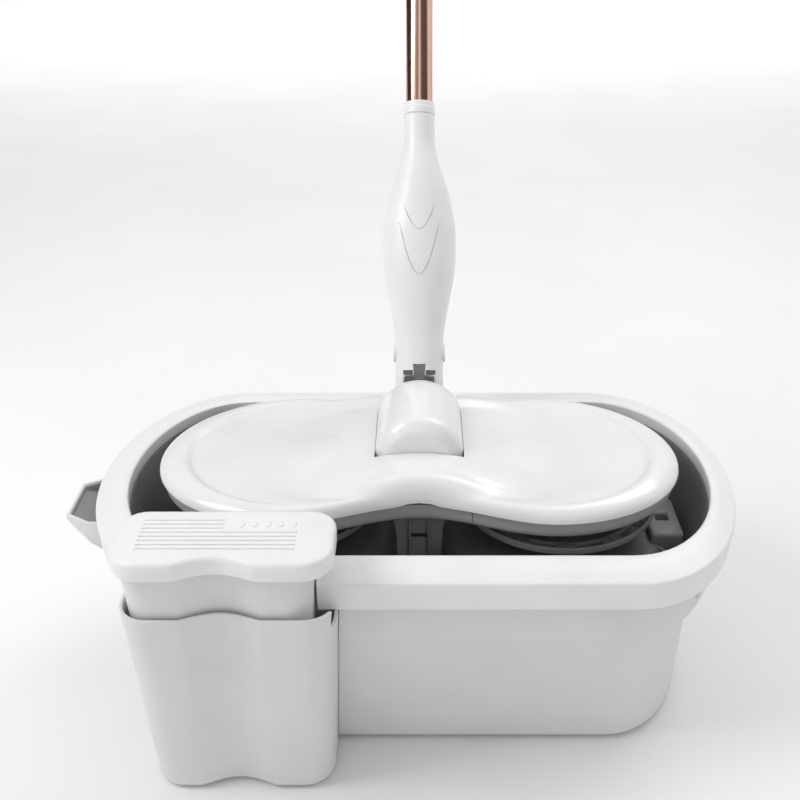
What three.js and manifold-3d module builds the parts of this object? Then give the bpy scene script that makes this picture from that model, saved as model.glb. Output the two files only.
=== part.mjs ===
// Spin mop with a pedal bucket, in millimetres, +Z up.
// The origin is on the floor under the middle of the bucket, and the pedal is at the front left (-Y, -X).
import * as THREE from 'three';
import { mergeVertices } from 'three/addons/utils/BufferGeometryUtils.js';
import Module from 'manifold-3d';

const wasm = await Module();
wasm.setup();

// ---------- driving dimensions ----------
const GAP = 0.3; // clearance between touching pieces
const WALL = 2.5; // moulded wall thickness
const FOOT_HEIGHT = 3;
const RIM_Z = 198; // inner edge of the top ring
const SKIRT_Z = 167; // bottom of the top ring's skirt
const STEP_Z = 128; // step under the inset band of the bucket
const RIM = { a: 250, b: 127, rx: 85 }; // half length, half depth and end radius of the ring's opening
const RING = { a: 271, b: 158, rx: 104, left: 6 }; // the ring is wider at the spout end
const TRAY_Z = 81; // floor of the inner liner
const DRUM_TOP = 141;
const DRUM_RADIUS = 100;
const BASKET_X = 122; // left and right of the middle
const SHAFT_RADIUS = 4;

const PEDAL = { x: -142, halfWidth: 81, front: -195, back: -124, top: 237, capHeight: 15 };
const SLEEVE = { x: -148, halfWidth: 69 }; // the ring's front end sits beside it, under the cap
const SPRING = { y: -152, base: 7.9, top: 200, radius: 9, wire: 1.1, turns: 9 }; // round the housing's post
const HOUSING = { front: -190, back: -120, top: 183, frontDraft: 0.07, sideDraft: 0.047 };

const DRIVE_Z = 48; // horizontal drive shaft
const RACK_PINION = { teeth: 12, radius: 10 };
const CROWN = { teeth: 30, radius: 25 };
const BASKET_GEAR = { teeth: 18, radius: BASKET_X * 18 / 44 };
const IDLER_GEAR = { teeth: 26, radius: BASKET_X * 26 / 44 };

const LOBE = { x: 110, a: 114.5, b: 101, waist: 75 }; // peanut outline of the mop head
const LIP_Z = 207; // lower edge of the head cover
const HEAD_FLOOR = 191.5;
const SADDLE_RISE = 17.5;
const ROLL_Z = 221; // swivel block's axis
const BLOCK = { radius: 38, front: -30, back: 51, bevel: 9 };
const TILT = { y: 80, z: 272, lean: 27.5 }; // tilt pin, and how far the pole leans back at rest
const POLE_RADIUS = 12.25;
const COLLAR = [216.4, 227.5]; // distances along the pole from the tilt pin
const LOWER_POLE_TOP = 600;
const UPPER_POLE = [300, 770];
const POLE_END = 800;
const EYE = { height: 820, radius: 9, bore: 5, thick: 7 }; // hanging eye at the end of the grip

// ---------- finishes ----------
const FINISH = {
  white: [0xf4f4f4, 0.25, 0],
  shell: [0xe2e2e2, 0.4, 0],
  grey: [0x8f8f92, 0.5, 0],
  dark: [0x4d4e52, 0.5, 0],
  band: [0xa8a8aa, 0.45, 0],
  rubber: [0x3a3a3c, 0.8, 0],
  steel: [0xc0c2c6, 0.3, 1],
  pole: [0xd9a58c, 0.18, 1],
  fibre: [0x9a9b9f, 1, 0],
};

function finish(name) {
  const [color, roughness, metalness] = FINISH[name];
  return new THREE.MeshStandardMaterial({ name, color, roughness, metalness });
}

// ---------- closed meshes and cuts ----------
// One closed mesh with shared corners, no collapsed faces, and its faces pointing out.
function closed(source) {
  const geometry = source.clone();
  geometry.deleteAttribute('normal');
  geometry.deleteAttribute('uv');
  const merged = mergeVertices(geometry, 1e-3);
  const p = merged.getAttribute('position');
  const index = Array.from(merged.getIndex().array);
  const kept = [];
  let volume = 0;
  const corner = (i) => new THREE.Vector3().fromBufferAttribute(p, i);
  for (let i = 0; i < index.length; i += 3) {
    const [a, b, c] = index.slice(i, i + 3);
    if (a === b || b === c || c === a) continue;
    kept.push([a, b, c]);
    volume += corner(a).dot(corner(b).cross(corner(c)));
  }
  if (volume < 0) kept.forEach((face) => face.reverse());
  merged.setIndex(kept.flat());
  return merged;
}

function solid(geometry) {
  const mesh = closed(geometry);
  return new wasm.Manifold(new wasm.Mesh({
    numProp: 3,
    vertProperties: new Float32Array(mesh.getAttribute('position').array),
    triVerts: new Uint32Array(mesh.getIndex().array),
  }));
}

function toGeometry(body) {
  const mesh = body.getMesh();
  const geometry = new THREE.BufferGeometry();
  geometry.setAttribute('position', new THREE.BufferAttribute(new Float32Array(mesh.vertProperties), 3));
  geometry.setIndex(new THREE.BufferAttribute(new Uint32Array(mesh.triVerts), 1));
  return geometry;
}

function cut(geometry, ...tools) {
  return toGeometry(tools.reduce((body, tool) => body.subtract(solid(tool)), solid(geometry)));
}

function join(geometry, ...others) {
  return toGeometry(others.reduce((body, other) => body.add(solid(other)), solid(geometry)));
}

function overlap(geometry, other) {
  return toGeometry(solid(geometry).intersect(solid(other)));
}

// ---------- shapes ----------
function box(x0, x1, y0, y1, z0, z1) {
  const geometry = new THREE.BoxGeometry(x1 - x0, y1 - y0, z1 - z0);
  return geometry.translate((x0 + x1) / 2, (y0 + y1) / 2, (z0 + z1) / 2);
}

// A round bar along an axis, from one coordinate to the other, centred on (u, v) in the other two axes.
function rod(axis, radius, from, to, u, v, sides = 16) {
  const bar = new THREE.CylinderGeometry(radius, radius, to - from, sides).rotateY(Math.PI / sides);
  const middle = (from + to) / 2;
  if (axis === 'x') return bar.rotateZ(-Math.PI / 2).translate(middle, u, v);
  if (axis === 'y') return bar.translate(u, middle, v);
  return bar.rotateX(Math.PI / 2).translate(u, v, middle);
}

// A body of revolution about Z through (x, y), from [radius, height] pairs.
function turned(profile, segments = 24, x = 0, y = 0) {
  const points = profile.map(([radius, height]) => new THREE.Vector2(radius, height));
  return new THREE.LatheGeometry(points, segments).rotateX(Math.PI / 2).translate(x, y, 0);
}

function tube(outer, inner, z0, z1, segments = 24, x = 0, y = 0) {
  return turned([[inner, z0], [outer, z0], [outer, z1], [inner, z1], [inner, z0]], segments, x, y);
}

// The bucket's plan: straight sides with half-elliptical ends.
function pill({ a, b, rx, left = 0 }, steps = 10) {
  const points = [];
  for (const side of [1, -1]) {
    const extra = side < 0 ? left : 0;
    for (let i = 0; i <= steps; i++) {
      const angle = side * Math.PI * (i / steps - 0.5);
      const x = side * (a - rx + (rx + extra) * Math.cos(angle));
      points.push(new THREE.Vector2(x, b * Math.sin(angle)));
    }
  }
  return points;
}

function grow({ a, b, rx, left = 0 }, d) {
  return { a: a + d, b: b + d, rx: rx + d, left };
}

// A solid through level outlines with the same number of points: [[height, outline], ...].
function loft(levels) {
  const base = levels[0][1];
  const count = levels.length - 1;
  const shape = new THREE.Shape(base);
  const geometry = new THREE.ExtrudeGeometry(shape, { depth: count, steps: count, bevelEnabled: false });
  const p = geometry.getAttribute('position');
  for (let i = 0; i < p.count; i++) {
    const [height, outline] = levels[Math.round(p.getZ(i))];
    const j = base.findIndex((q) => Math.hypot(q.x - p.getX(i), q.y - p.getY(i)) < 1e-4);
    p.setXYZ(i, outline[j].x, outline[j].y, height);
  }
  return geometry;
}

function pillLoft(levels) {
  return loft(levels.map(([height, size]) => [height, pill(size)]));
}

// A spur gear about Z: narrow straight-sided teeth with running clearance.
function gear({ teeth, radius }, z0, z1, bore, x, y, phase = 0) {
  const addendum = radius * 2 / teeth * 0.75;
  const pitch = Math.PI * 2 / teeth;
  const shape = new THREE.Shape();
  for (let i = 0; i < teeth; i++) {
    for (const [offset, r] of [[-0.27, -1.25], [-0.12, 1], [0.12, 1], [0.27, -1.25]]) {
      const angle = (i + offset) * pitch + phase;
      const reach = radius + addendum * r;
      const point = [reach * Math.cos(angle), reach * Math.sin(angle)];
      if (i === 0 && offset < -0.2) shape.moveTo(...point);
      else shape.lineTo(...point);
    }
  }
  shape.closePath();
  const hole = new THREE.Path();
  hole.absarc(0, 0, bore, 0, Math.PI * 2, true);
  shape.holes.push(hole);
  const body = new THREE.ExtrudeGeometry(shape, { depth: z1 - z0, bevelEnabled: false, curveSegments: 6 });
  return body.translate(0, 0, z0).translate(x, y, 0);
}

// ---------- bucket ----------
const BAND = { a: 256, b: 148, rx: 98 };
const BODY_TOP = { a: 241, b: 143, rx: 84 };
const BODY_BOTTOM = { a: 239, b: 123, rx: 80 };

function bucketOuter(d) {
  return pillLoft([
    [FOOT_HEIGHT - Math.min(d, 0), grow(BODY_BOTTOM, d)],
    [STEP_Z, grow(BODY_TOP, d)],
    [STEP_Z + 2, grow(BAND, d)],
    [190 + Math.max(-d, 0), grow(BAND, d)],
  ]);
}

// Everything inside the pedal housing's outer faces, which the bucket and its ring leave free.
function housingOutline(front, back, halfWidth, corner, middle = PEDAL.x) {
  const left = middle - halfWidth;
  const right = middle + halfWidth;
  const points = [];
  const arc = (cx, cy, from, to, steps) => {
    for (let i = 0; i <= steps; i++) {
      const angle = from + (to - from) * i / steps;
      points.push(new THREE.Vector2(cx + corner * Math.cos(angle), cy + corner * Math.sin(angle)));
    }
  };
  arc(left + corner, front + corner, Math.PI, Math.PI * 1.5, 4);
  const waveFrom = PEDAL.x - 34;
  const waveTo = PEDAL.x + 26;
  for (let i = 0; i <= 6; i++) {
    const t = i / 6;
    points.push(new THREE.Vector2(waveFrom + (waveTo - waveFrom) * t, front + 9 * Math.sin(Math.PI * t)));
  }
  arc(right - corner, front + corner, Math.PI * 1.5, Math.PI * 2, 4);
  points.push(new THREE.Vector2(right, back), new THREE.Vector2(left, back));
  return points;
}

function housingLevel(z, inset) {
  const below = HOUSING.top - z;
  const front = HOUSING.front + below * HOUSING.frontDraft + inset;
  const halfWidth = PEDAL.halfWidth - below * HOUSING.sideDraft - inset;
  return [z, housingOutline(front, HOUSING.back - inset, halfWidth, 24 - inset)];
}

// The room that the housing takes out of the bucket, and the room that the sleeve takes out of the ring.
function housingRoom() {
  const back = HOUSING.back + 0.5;
  return loft([
    [0, housingOutline(-210, back, PEDAL.halfWidth - 8.2, 10)],
    [HOUSING.top, housingOutline(-215, back, PEDAL.halfWidth + 0.5, 10)],
    [186, housingOutline(-215, back, PEDAL.halfWidth + 0.5, 10)],
  ]);
}

function sleeveRoom(clearance, from) {
  const outline = housingOutline(-215, HOUSING.back + 0.5, SLEEVE.halfWidth + clearance, 10, SLEEVE.x);
  return loft([[from, outline], [260, outline]]);
}

// The spout sticks out of the left end: an open wedge that drains the bucket.
function spoutWedge(d) {
  const top = 166;
  const root = -225;
  const tip = -307 + d;
  const low = [-262 + d * 2, 128 + d * 2];
  const side = new THREE.Shape([
    new THREE.Vector2(root, top + (d ? 4 : 0)),
    new THREE.Vector2(tip, top + (d ? 4 : 0)),
    new THREE.Vector2(tip, top - 5),
    new THREE.Vector2(...low),
    new THREE.Vector2(root, 128 + d * 2),
  ]);
  const width = 76 - 2 * d;
  const wedge = new THREE.ExtrudeGeometry(side, { depth: width, bevelEnabled: false });
  wedge.rotateX(Math.PI / 2).translate(0, width / 2, 0);
  const plan = new THREE.Shape([
    new THREE.Vector2(-220, -38 + d), new THREE.Vector2(-220, 38 - d), new THREE.Vector2(-285, 38 - d),
    new THREE.Vector2(tip, 26 - d), new THREE.Vector2(tip, -26 + d), new THREE.Vector2(-285, -38 + d),
  ]);
  const column = new THREE.ExtrudeGeometry(plan, { depth: 80, bevelEnabled: false }).translate(0, 0, 100);
  return overlap(wedge, column);
}

function bucketBody() {
  const outer = join(bucketOuter(0), spoutWedge(0));
  const cavity = pillLoft([
    [FOOT_HEIGHT + WALL, grow(BODY_BOTTOM, -WALL)],
    [STEP_Z, grow(BODY_TOP, -WALL)],
    [STEP_Z + 2, grow(BAND, -WALL)],
    [200, grow(BAND, -WALL)],
  ]);
  const bosses = [-BASKET_X, 0, BASKET_X].map((x) => rod('z', 9, 4, 9, x, 0, 16));
  const hollow = join(cut(outer, join(cavity, spoutWedge(WALL))), ...bosses);
  const sockets = [-BASKET_X, 0, BASKET_X].map((x) => rod('z', SHAFT_RADIUS + GAP, 5.2, 12, x, 0));
  const shaftHole = rod('y', 8, -125, -100, -BASKET_X, DRIVE_Z);
  return cut(hollow, housingRoom(), sleeveRoom(2, 150), shaftHole, ...sockets);
}

function topRing() {
  const outer = pillLoft([
    [SKIRT_Z, grow(RING, -2)], [192, RING], [RIM_Z, { ...grow(RING, -16), rx: 93 }],
  ]);
  const opening = pillLoft([[160, RIM], [210, RIM]]);
  const inside = pillLoft([
    [160, grow(RING, -5)], [189, grow(RING, -3)], [194.5, { ...grow(RING, -19), rx: 90 }],
  ]);
  const lip = pillLoft([[186, grow(RIM, WALL)], [200, grow(RIM, WALL)]]);
  return cut(outer, cut(inside, lip), opening, sleeveRoom(2.6, 150));
}

// A clip stands off the bucket's band at a corner, under the ring's skirt that it holds.
function ringClip(cornerAngle) {
  const side = new THREE.Shape([
    new THREE.Vector2(0, 0), new THREE.Vector2(3, 4), new THREE.Vector2(4.5, 24), new THREE.Vector2(0, 24),
  ]);
  const width = 20;
  const clip = new THREE.ExtrudeGeometry(side, { depth: width, bevelEnabled: false });
  const u = Math.cos(cornerAngle);
  const v = Math.sin(cornerAngle);
  const normal = new THREE.Vector2(u / BAND.rx, v / BAND.b).normalize().multiplyScalar(1.2);
  const x = Math.sign(u) * (BAND.a - BAND.rx) + BAND.rx * u + normal.x;
  clip.rotateX(Math.PI / 2).translate(0, width / 2, 0).rotateZ(normal.angle());
  return clip.translate(x, BAND.b * v + normal.y, SKIRT_Z - 24 - GAP);
}

function foot(x, y) {
  const top = FOOT_HEIGHT - GAP;
  return turned([[0, 0], [11, 0], [12, 1], [12, top], [0, top]], 16, x, y);
}

function pedalHousing() {
  const outer = loft([housingLevel(FOOT_HEIGHT, 0), housingLevel(HOUSING.top, 0)]);
  const cavity = loft([housingLevel(FOOT_HEIGHT + WALL, WALL), housingLevel(HOUSING.top + 1, WALL)]);
  const springPost = rod('z', 6, 4, 70, PEDAL.x - 30, SPRING.y);
  const guidePost = rod('z', 6, 4, 70, PEDAL.x + 52, SPRING.y);
  const shaftHole = rod('y', 8, -125, -110, -BASKET_X, DRIVE_Z);
  const ringEnds = [
    box(SLEEVE.x + SLEEVE.halfWidth, 0, -165, 0, SKIRT_Z - GAP, 200),
    box(-260, SLEEVE.x - SLEEVE.halfWidth - 1.5, -145, 0, SKIRT_Z - GAP, 200),
  ];
  return cut(join(cut(outer, cavity), springPost, guidePost), shaftHole, ...ringEnds);
}

function innerLiner() {
  const top = grow(RIM, WALL);
  const bottom = { a: 232, b: 115, rx: 75 };
  const outer = pillLoft([[TRAY_Z, bottom], [STEP_Z, grow(bottom, 5)], [185.6, top]]);
  const flange = pillLoft([[183, grow(RIM, 3.2)], [185.6, grow(RIM, 3.2)]]);
  const cavity = pillLoft([
    [TRAY_Z + WALL, grow(bottom, -WALL)], [STEP_Z, grow(bottom, 5 - WALL)], [190, RIM],
  ]);
  const drum = (x, d) => turned([
    [0, 70], [DRUM_RADIUS + 3 - d, 70], [DRUM_RADIUS - d, DRUM_TOP - 12 - d],
    [DRUM_RADIUS - 4 - d, DRUM_TOP - 4 - d], [DRUM_RADIUS - 12 - d, DRUM_TOP - d], [0, DRUM_TOP - d],
  ], 26, x);
  const sides = [-BASKET_X, BASKET_X];
  const tub = join(cut(join(outer, flange), cavity), ...sides.map((x) => drum(x, 0)));
  const endBlock = cut(box(203, 232, -30, 30, TRAY_Z + 1, 148), box(212, 223, -5, 5, 120, 160));
  const openings = sides.map((x) => rod('z', 9, 130, 150, x, 0));
  const voids = sides.map((x) => drum(x, WALL));
  const below = box(-300, 300, -200, 200, 40, TRAY_Z);
  return cut(join(tub, endBlock), ...voids, ...openings, below, housingRoom(), sleeveRoom(2, 150));
}

// ---------- drive ----------
function basket(x) {
  const dish = turned([
    [0, 145], [13, 145], [13, 155], [60, 155], [69, 160], [72, 167], [86, 167], [86, 173], [83.5, 173],
    [83.5, 169.5], [70, 169.5], [66, 161.5], [59, 157.5], [13, 157.5], [13, 160], [0, 160],
  ], 30, x);
  const tools = [rod('z', SHAFT_RADIUS + GAP, 140, 165, x, 0)];
  for (let i = 0; i < 12; i++) {
    const slot = box(72.5, 80.5, -11, 11, 160, 180);
    tools.push(slot.rotateZ((i + 0.5) * Math.PI / 6).translate(x, 0, 0));
  }
  return cut(dish, ...tools);
}

function bushing(x) {
  return turned([
    [SHAFT_RADIUS + GAP, 136], [8.7, 136], [8.7, DRUM_TOP + GAP], [12, DRUM_TOP + GAP], [12, 143.5],
    [SHAFT_RADIUS + GAP, 143.5], [SHAFT_RADIUS + GAP, 136],
  ], 16, x);
}

function hubNut(x) {
  return turned([[0, 160.3], [7, 160.3], [7, 162.2], [5, 163.5], [0, 163.5]], 12, x);
}

function rack() {
  const pitch = 2 * Math.PI * RACK_PINION.radius / RACK_PINION.teeth;
  const pitchLine = -BASKET_X - RACK_PINION.radius;
  const root = pitchLine - 1.6;
  const tip = pitchLine + 1.25;
  const outline = [[root - 8, 44], [root, 44]];
  for (let i = 0; i < 9; i++) {
    const z = DRIVE_Z + i * pitch;
    outline.push([root, z - 1.5], [tip, z - 0.6], [tip, z + 0.6], [root, z + 1.5]);
  }
  outline.push([root, 208], [root - 8, 208]);
  const shape = new THREE.Shape(outline.map(([x, z]) => new THREE.Vector2(x, z)));
  const bar = new THREE.ExtrudeGeometry(shape, { depth: 12, bevelEnabled: false });
  return bar.rotateX(Math.PI / 2).translate(0, -146, 0);
}

// The pinion's tooth points at the rack's tooth gap, half a tooth off the rack tooth at shaft height.
function rackPinion() {
  const body = gear(RACK_PINION, -5, 5, SHAFT_RADIUS + GAP, 0, 0, Math.PI / RACK_PINION.teeth + Math.PI);
  return body.rotateX(Math.PI / 2).translate(-BASKET_X, -152, DRIVE_Z);
}

function crownGear() {
  const disc = tube(28, SHAFT_RADIUS + GAP, 12.4, 16, 24);
  const teeth = [];
  for (let i = 0; i < CROWN.teeth; i++) {
    const tooth = box(CROWN.radius - 3.5, CROWN.radius + 1.8, -0.56, 0.56, 9.3, 13);
    teeth.push(tooth.rotateZ(i * 2 * Math.PI / CROWN.teeth));
  }
  const body = join(disc, ...teeth);
  return body.rotateZ(Math.PI / 2).rotateX(Math.PI / 2).translate(-BASKET_X, 0, DRIVE_Z);
}

function clutchGear() {
  const pinion = { teeth: 12, radius: 10 };
  const phase = -Math.PI / 2 + Math.PI / 12;
  const toothed = gear(pinion, 69, 77, 6.6, -BASKET_X, 0, phase);
  const cup = tube(14, 6.6, 77, 90, 24, -BASKET_X);
  return cut(join(toothed, cup), rod('z', 10.5, 80, 95, -BASKET_X, 0, 24));
}

// A coil spring round its post.
function spring(x, y) {
  const { radius, wire, turns } = SPRING;
  const z0 = SPRING.base + wire;
  const z1 = SPRING.top - wire - GAP;
  class Helix extends THREE.Curve {
    getPoint(t, target = new THREE.Vector3()) {
      const angle = t * turns * Math.PI * 2;
      return target.set(x + radius * Math.cos(angle), y + radius * Math.sin(angle), z0 + (z1 - z0) * t);
    }
  }
  const section = new THREE.Shape();
  section.absarc(0, 0, wire, 0, Math.PI * 2);
  const options = { extrudePath: new Helix(), steps: turns * 9, bevelEnabled: false, curveSegments: 2 };
  return new THREE.ExtrudeGeometry(section, options);
}

// ---------- pedal ----------
// The cap's plan has rounded back corners as well.
function capOutline(inset, corner) {
  const { x, halfWidth, front, back } = PEDAL;
  const points = housingOutline(front + inset, back, halfWidth - inset, corner).slice(0, -2);
  const radius = corner - 4;
  for (const side of [1, -1]) {
    for (let i = 0; i <= 4; i++) {
      const angle = side > 0 ? Math.PI / 8 * i : Math.PI / 2 + Math.PI / 8 * i;
      const cx = x + side * (halfWidth - inset - radius);
      const cy = back - inset - radius;
      points.push(new THREE.Vector2(cx + radius * Math.cos(angle), cy + radius * Math.sin(angle)));
    }
  }
  return points;
}

function pedalCap() {
  const base = PEDAL.top - PEDAL.capHeight;
  const cap = loft([
    [base, capOutline(0, 24)], [PEDAL.top - 3, capOutline(0, 24)], [PEDAL.top, capOutline(3, 22)],
  ]);
  const hollow = loft([[base - 1, capOutline(2.5, 22)], [PEDAL.top - 4, capOutline(3.5, 21)]]);
  const grooves = [];
  for (let i = 0; i < 8; i++) {
    const y = PEDAL.back - 12 - i * 5.2;
    const right = i < 3 ? PEDAL.x + 8 : PEDAL.x + 58;
    grooves.push(box(PEDAL.x - 48, right, y - 0.8, y + 0.8, PEDAL.top - 1, PEDAL.top + 1));
  }
  return cut(cap, hollow, ...grooves);
}

// The sleeve tapers like the housing, so that it still clears it when it is pressed down.
function sleeveOutline(z, inset) {
  const above = z - HOUSING.top;
  const front = HOUSING.front + 5 - above * HOUSING.frontDraft + inset;
  const halfWidth = SLEEVE.halfWidth + above * HOUSING.sideDraft - inset;
  const outline = housingOutline(front, HOUSING.back - 8 - inset, halfWidth, 20 - inset, SLEEVE.x);
  const chamfer = 16 - inset;
  return outline.slice(0, -2).concat(outline.slice(-2).flatMap((p) => {
    const inwards = Math.sign(SLEEVE.x - p.x) * chamfer;
    const corner = [new THREE.Vector2(p.x, p.y - chamfer), new THREE.Vector2(p.x + inwards, p.y)];
    return inwards < 0 ? corner : corner.reverse();
  }));
}

function pedalSleeve() {
  const top = PEDAL.top - 4 - GAP;
  const bottom = 105;
  const outer = loft([[bottom, sleeveOutline(bottom, 0)], [top, sleeveOutline(top, 0)]]);
  const inner = loft([
    [bottom - 1, sleeveOutline(bottom, WALL)], [top - WALL, sleeveOutline(top - WALL, WALL)],
  ]);
  const springSeat = rod('z', 12, SPRING.top, top - 1, PEDAL.x - 30, SPRING.y);
  const guide = tube(9, 6.5, 66, top - 1, 16, PEDAL.x + 52, SPRING.y);
  return join(cut(outer, inner), springSeat, guide);
}

// ---------- mop head ----------
function peanut(inset, steps = 10) {
  const { x, a, b, waist } = LOBE;
  const points = [];
  const half = (side) => {
    for (let i = 0; i <= steps; i++) {
      const angle = side * Math.PI * (i / steps - 0.5);
      const px = side * (x + (a - inset) * Math.cos(angle));
      points.push(new THREE.Vector2(px, (b - inset) * Math.sin(angle)));
    }
    for (let i = 1; i < 8; i++) {
      const px = x * (1 - 2 * i / 8);
      const lift = (1 - Math.cos(Math.PI * px / x)) / 2;
      points.push(new THREE.Vector2(side * px, side * (waist - inset + (b - waist) * lift)));
    }
  };
  half(1);
  half(-1);
  return points;
}

// The cover is a lathe of its edge profile, stretched over the peanut outline and raised at the saddle.
function coverShell() {
  const profile = [
    [0, 214], [0.4, 214], [0.72, 214.5], [0.82, 217.5], [0.91, 217], [0.97, 213], [1, LIP_Z],
    [0.972, LIP_Z], [0.95, 211], [0.9, 214], [0.82, 214.5], [0.72, 212], [0.4, 211.5], [0, 211.5],
  ];
  const outline = peanut(0);
  const shell = new THREE.LatheGeometry(profile.map(([r, z]) => new THREE.Vector2(r, z)), outline.length);
  const p = shell.getAttribute('position');
  for (let i = 0; i < p.count; i++) {
    const column = Math.floor(i / profile.length) % outline.length;
    const [r, z] = profile[i % profile.length];
    const x = outline[column].x * r;
    const y = outline[column].y * r;
    const along = Math.max(0, 1 - (x / 108) ** 2) ** 2;
    const across = Math.max(0, 1 - (y / 77) ** 8);
    p.setXYZ(i, x, y, z + SADDLE_RISE * along * across);
  }
  return shell;
}

const SCREW_PLACES = [[-58, -48], [58, -48], [-58, 48], [58, 48]];

function headCover() {
  const bosses = SCREW_PLACES.map(([x, y]) => rod('z', 5, 196, 221, x, y, 10));
  const trough = rod('y', BLOCK.radius + 0.6, BLOCK.front - 0.6, BLOCK.back + 0.6, 0, ROLL_Z, 40);
  const armSlot = rod('y', 24, 40, 72, 0, ROLL_Z, 24);
  const holes = SCREW_PLACES.map(([x, y]) => rod('z', 1.9, 190, 206, x, y, 8));
  return cut(join(coverShell(), ...bosses), trough, armSlot, ...holes);
}

function headBase() {
  const outer = loft([[HEAD_FLOOR, peanut(6)], [194, peanut(3.2)], [206.5, peanut(3.2)]]);
  const inner = loft([[HEAD_FLOOR + 2.5, peanut(6.5)], [210, peanut(5.7)]]);
  const cradle = [[BLOCK.front - 4.6, BLOCK.front - 1.2], [BLOCK.back + 1.2, BLOCK.back + 4.6]]
    .map(([y0, y1]) => box(-12, 12, y0, y1, 193, 225.4));
  const pinHole = rod('y', 3.3, -50, 70, 0, ROLL_Z, 12);
  const spindles = [-BASKET_X, BASKET_X].map((x) => rod('z', 7.3, 180, 200, x, 0));
  const screws = SCREW_PLACES.map(([x, y]) => rod('z', 2.2, 180, 200, x, y, 8));
  return cut(join(cut(outer, inner), ...cradle), pinHole, ...spindles, ...screws);
}

function screw(x, y, headTop, length) {
  return turned([
    [0, headTop - 2], [3.6, headTop - 2], [3.6, headTop], [1.6, headTop], [1.6, headTop + length],
    [0, headTop + length + 1],
  ], 10, x, y);
}

// The spindle passes through the head floor and carries the disc on its collar.
function spindle(x) {
  return turned([
    [0, 176], [8, 176], [8, 178.2], [5, 178.2], [5, HEAD_FLOOR - 0.4], [7, HEAD_FLOOR - 0.4],
    [7, 194.3], [11, 194.3], [11, 197], [0, 197],
  ], 16, x);
}

function mopDisc(x) {
  return turned([
    [5.3, 178.6], [11, 178.6], [11, 185], [66, 186], [66, 189.5], [60, 190.5], [5.3, 190.5], [5.3, 178.6],
  ], 24, x);
}

function mopPad(x) {
  return turned([
    [12.5, 168], [56, 165.5], [62, 172], [62, 182], [54, 184.6], [12.5, 184.6], [12.5, 168],
  ], 24, x);
}

// ---------- swivel ----------
function dShape(radius, base) {
  const points = [];
  const drop = Math.asin((base - ROLL_Z) / radius);
  for (let i = 0; i <= 16; i++) {
    const angle = drop + (Math.PI - 2 * drop) * i / 16;
    points.push(new THREE.Vector2(radius * Math.cos(angle), radius * Math.sin(angle)));
  }
  return points;
}

function swivelBlock() {
  const { radius, front, back, bevel } = BLOCK;
  const base = ROLL_Z + 1;
  const depth = back - front;
  const outer = loft([
    [0, dShape(radius - bevel, base)], [bevel, dShape(radius, base)], [depth, dShape(radius, base)],
  ]);
  const inner = loft([
    [WALL, dShape(radius - bevel - WALL, base)], [bevel + WALL, dShape(radius - WALL, base)],
    [depth + 1, dShape(radius - WALL, base)],
  ]);
  const stand = (body) => body.rotateX(Math.PI / 2).scale(1, -1, 1).translate(0, front, ROLL_Z);
  const pinHole = rod('y', 3.3, -50, 60, 0, ROLL_Z, 12);
  const openBase = box(-29, 29, front + WALL, back + 1, 215, 226);
  return cut(stand(outer), stand(inner).translate(0, 0, -0.01), openBase, pinHole);
}

// A plain knuckle runs along the roll pin, leaves the block's open back and rises to the tilt pin.
function knuckle() {
  const barrel = rod('y', 8, BLOCK.front + 6, BLOCK.back - 3, 0, ROLL_Z, 16);
  const web = box(-9, 9, 20, BLOCK.back - 3, 222, 246);
  const arm = box(-13, 13, 20, TILT.y + 6, 236, 247.5);
  const neck = box(-4.8, 4.8, TILT.y - 5, TILT.y + 5, 240, TILT.z);
  const eye = rod('x', 10, -13, 13, TILT.y, TILT.z, 16);
  const body = join(barrel, web, arm, neck, eye);
  return cut(body, rod('y', 3.3, -60, 80, 0, ROLL_Z, 12), rod('x', 3.8, -20, 20, TILT.y, TILT.z, 12));
}

// ---------- handle, built upright round the tilt pin ----------
const BULB = [
  [-34, 21.8], [9, 21.8], [25, 23.5], [46, 27.3], [68, 31.3], [82, 33], [99, 33.2], [115, 32.7],
  [130, 30.4], [145, 27], [160, 22.3], [178, 16.9], [190, 14.5], [216, 13.9],
];
const BULB_DEPTH = 0.84;

// The bulb is flatter than it is wide, and becomes round where it meets the pole.
function bulbTurned(profile) {
  const geometry = turned(profile, 16);
  const p = geometry.getAttribute('position');
  for (let i = 0; i < p.count; i++) {
    const t = THREE.MathUtils.smoothstep(p.getZ(i), 120, 185);
    p.setY(i, p.getY(i) * (BULB_DEPTH + (1 - BULB_DEPTH) * t));
  }
  return geometry;
}

function bulbShell() {
  const rings = BULB.map(([s, r]) => [r, s]);
  const outer = bulbTurned([[0, -34], ...rings, [0, 216]]);
  const hollow = BULB.filter(([s]) => s < 180).map(([s, r]) => [r - WALL, s < 0 ? -40 : s]);
  const inner = bulbTurned([[0, -40], ...hollow, [0, 178]]);
  const polePassage = rod('z', POLE_RADIUS + GAP, 140, 220, 0, 0, 20);
  const bosses = rod('x', 8, -23.3, 23.3, 0, 0, 16);
  const heel = join(rod('x', 31, -30, 30, 0, 0, 32), box(-60, 60, -60, 60, 0, 230));
  const body = overlap(join(outer, bosses), heel);
  const notchWide = box(-14.5, 14.5, -40, 40, -40, -16);
  const notchNarrow = box(-5.75, 5.75, -40, 40, -20, -10.5);
  const pinHole = rod('x', 3.8, -30, 30, 0, 0, 12);
  const eyeRoom = rod('x', 12.5, -13.6, 13.6, 0, 0, 20);
  return cut(body, inner, polePassage, notchWide, notchNarrow, pinHole, eyeRoom);
}

function bulbHalf(side) {
  const half = side < 0 ? box(-60, 60, -60, -GAP / 2, -60, 230) : box(-60, 60, GAP / 2, 60, -60, 230);
  return overlap(bulbShell(), half);
}

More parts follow.
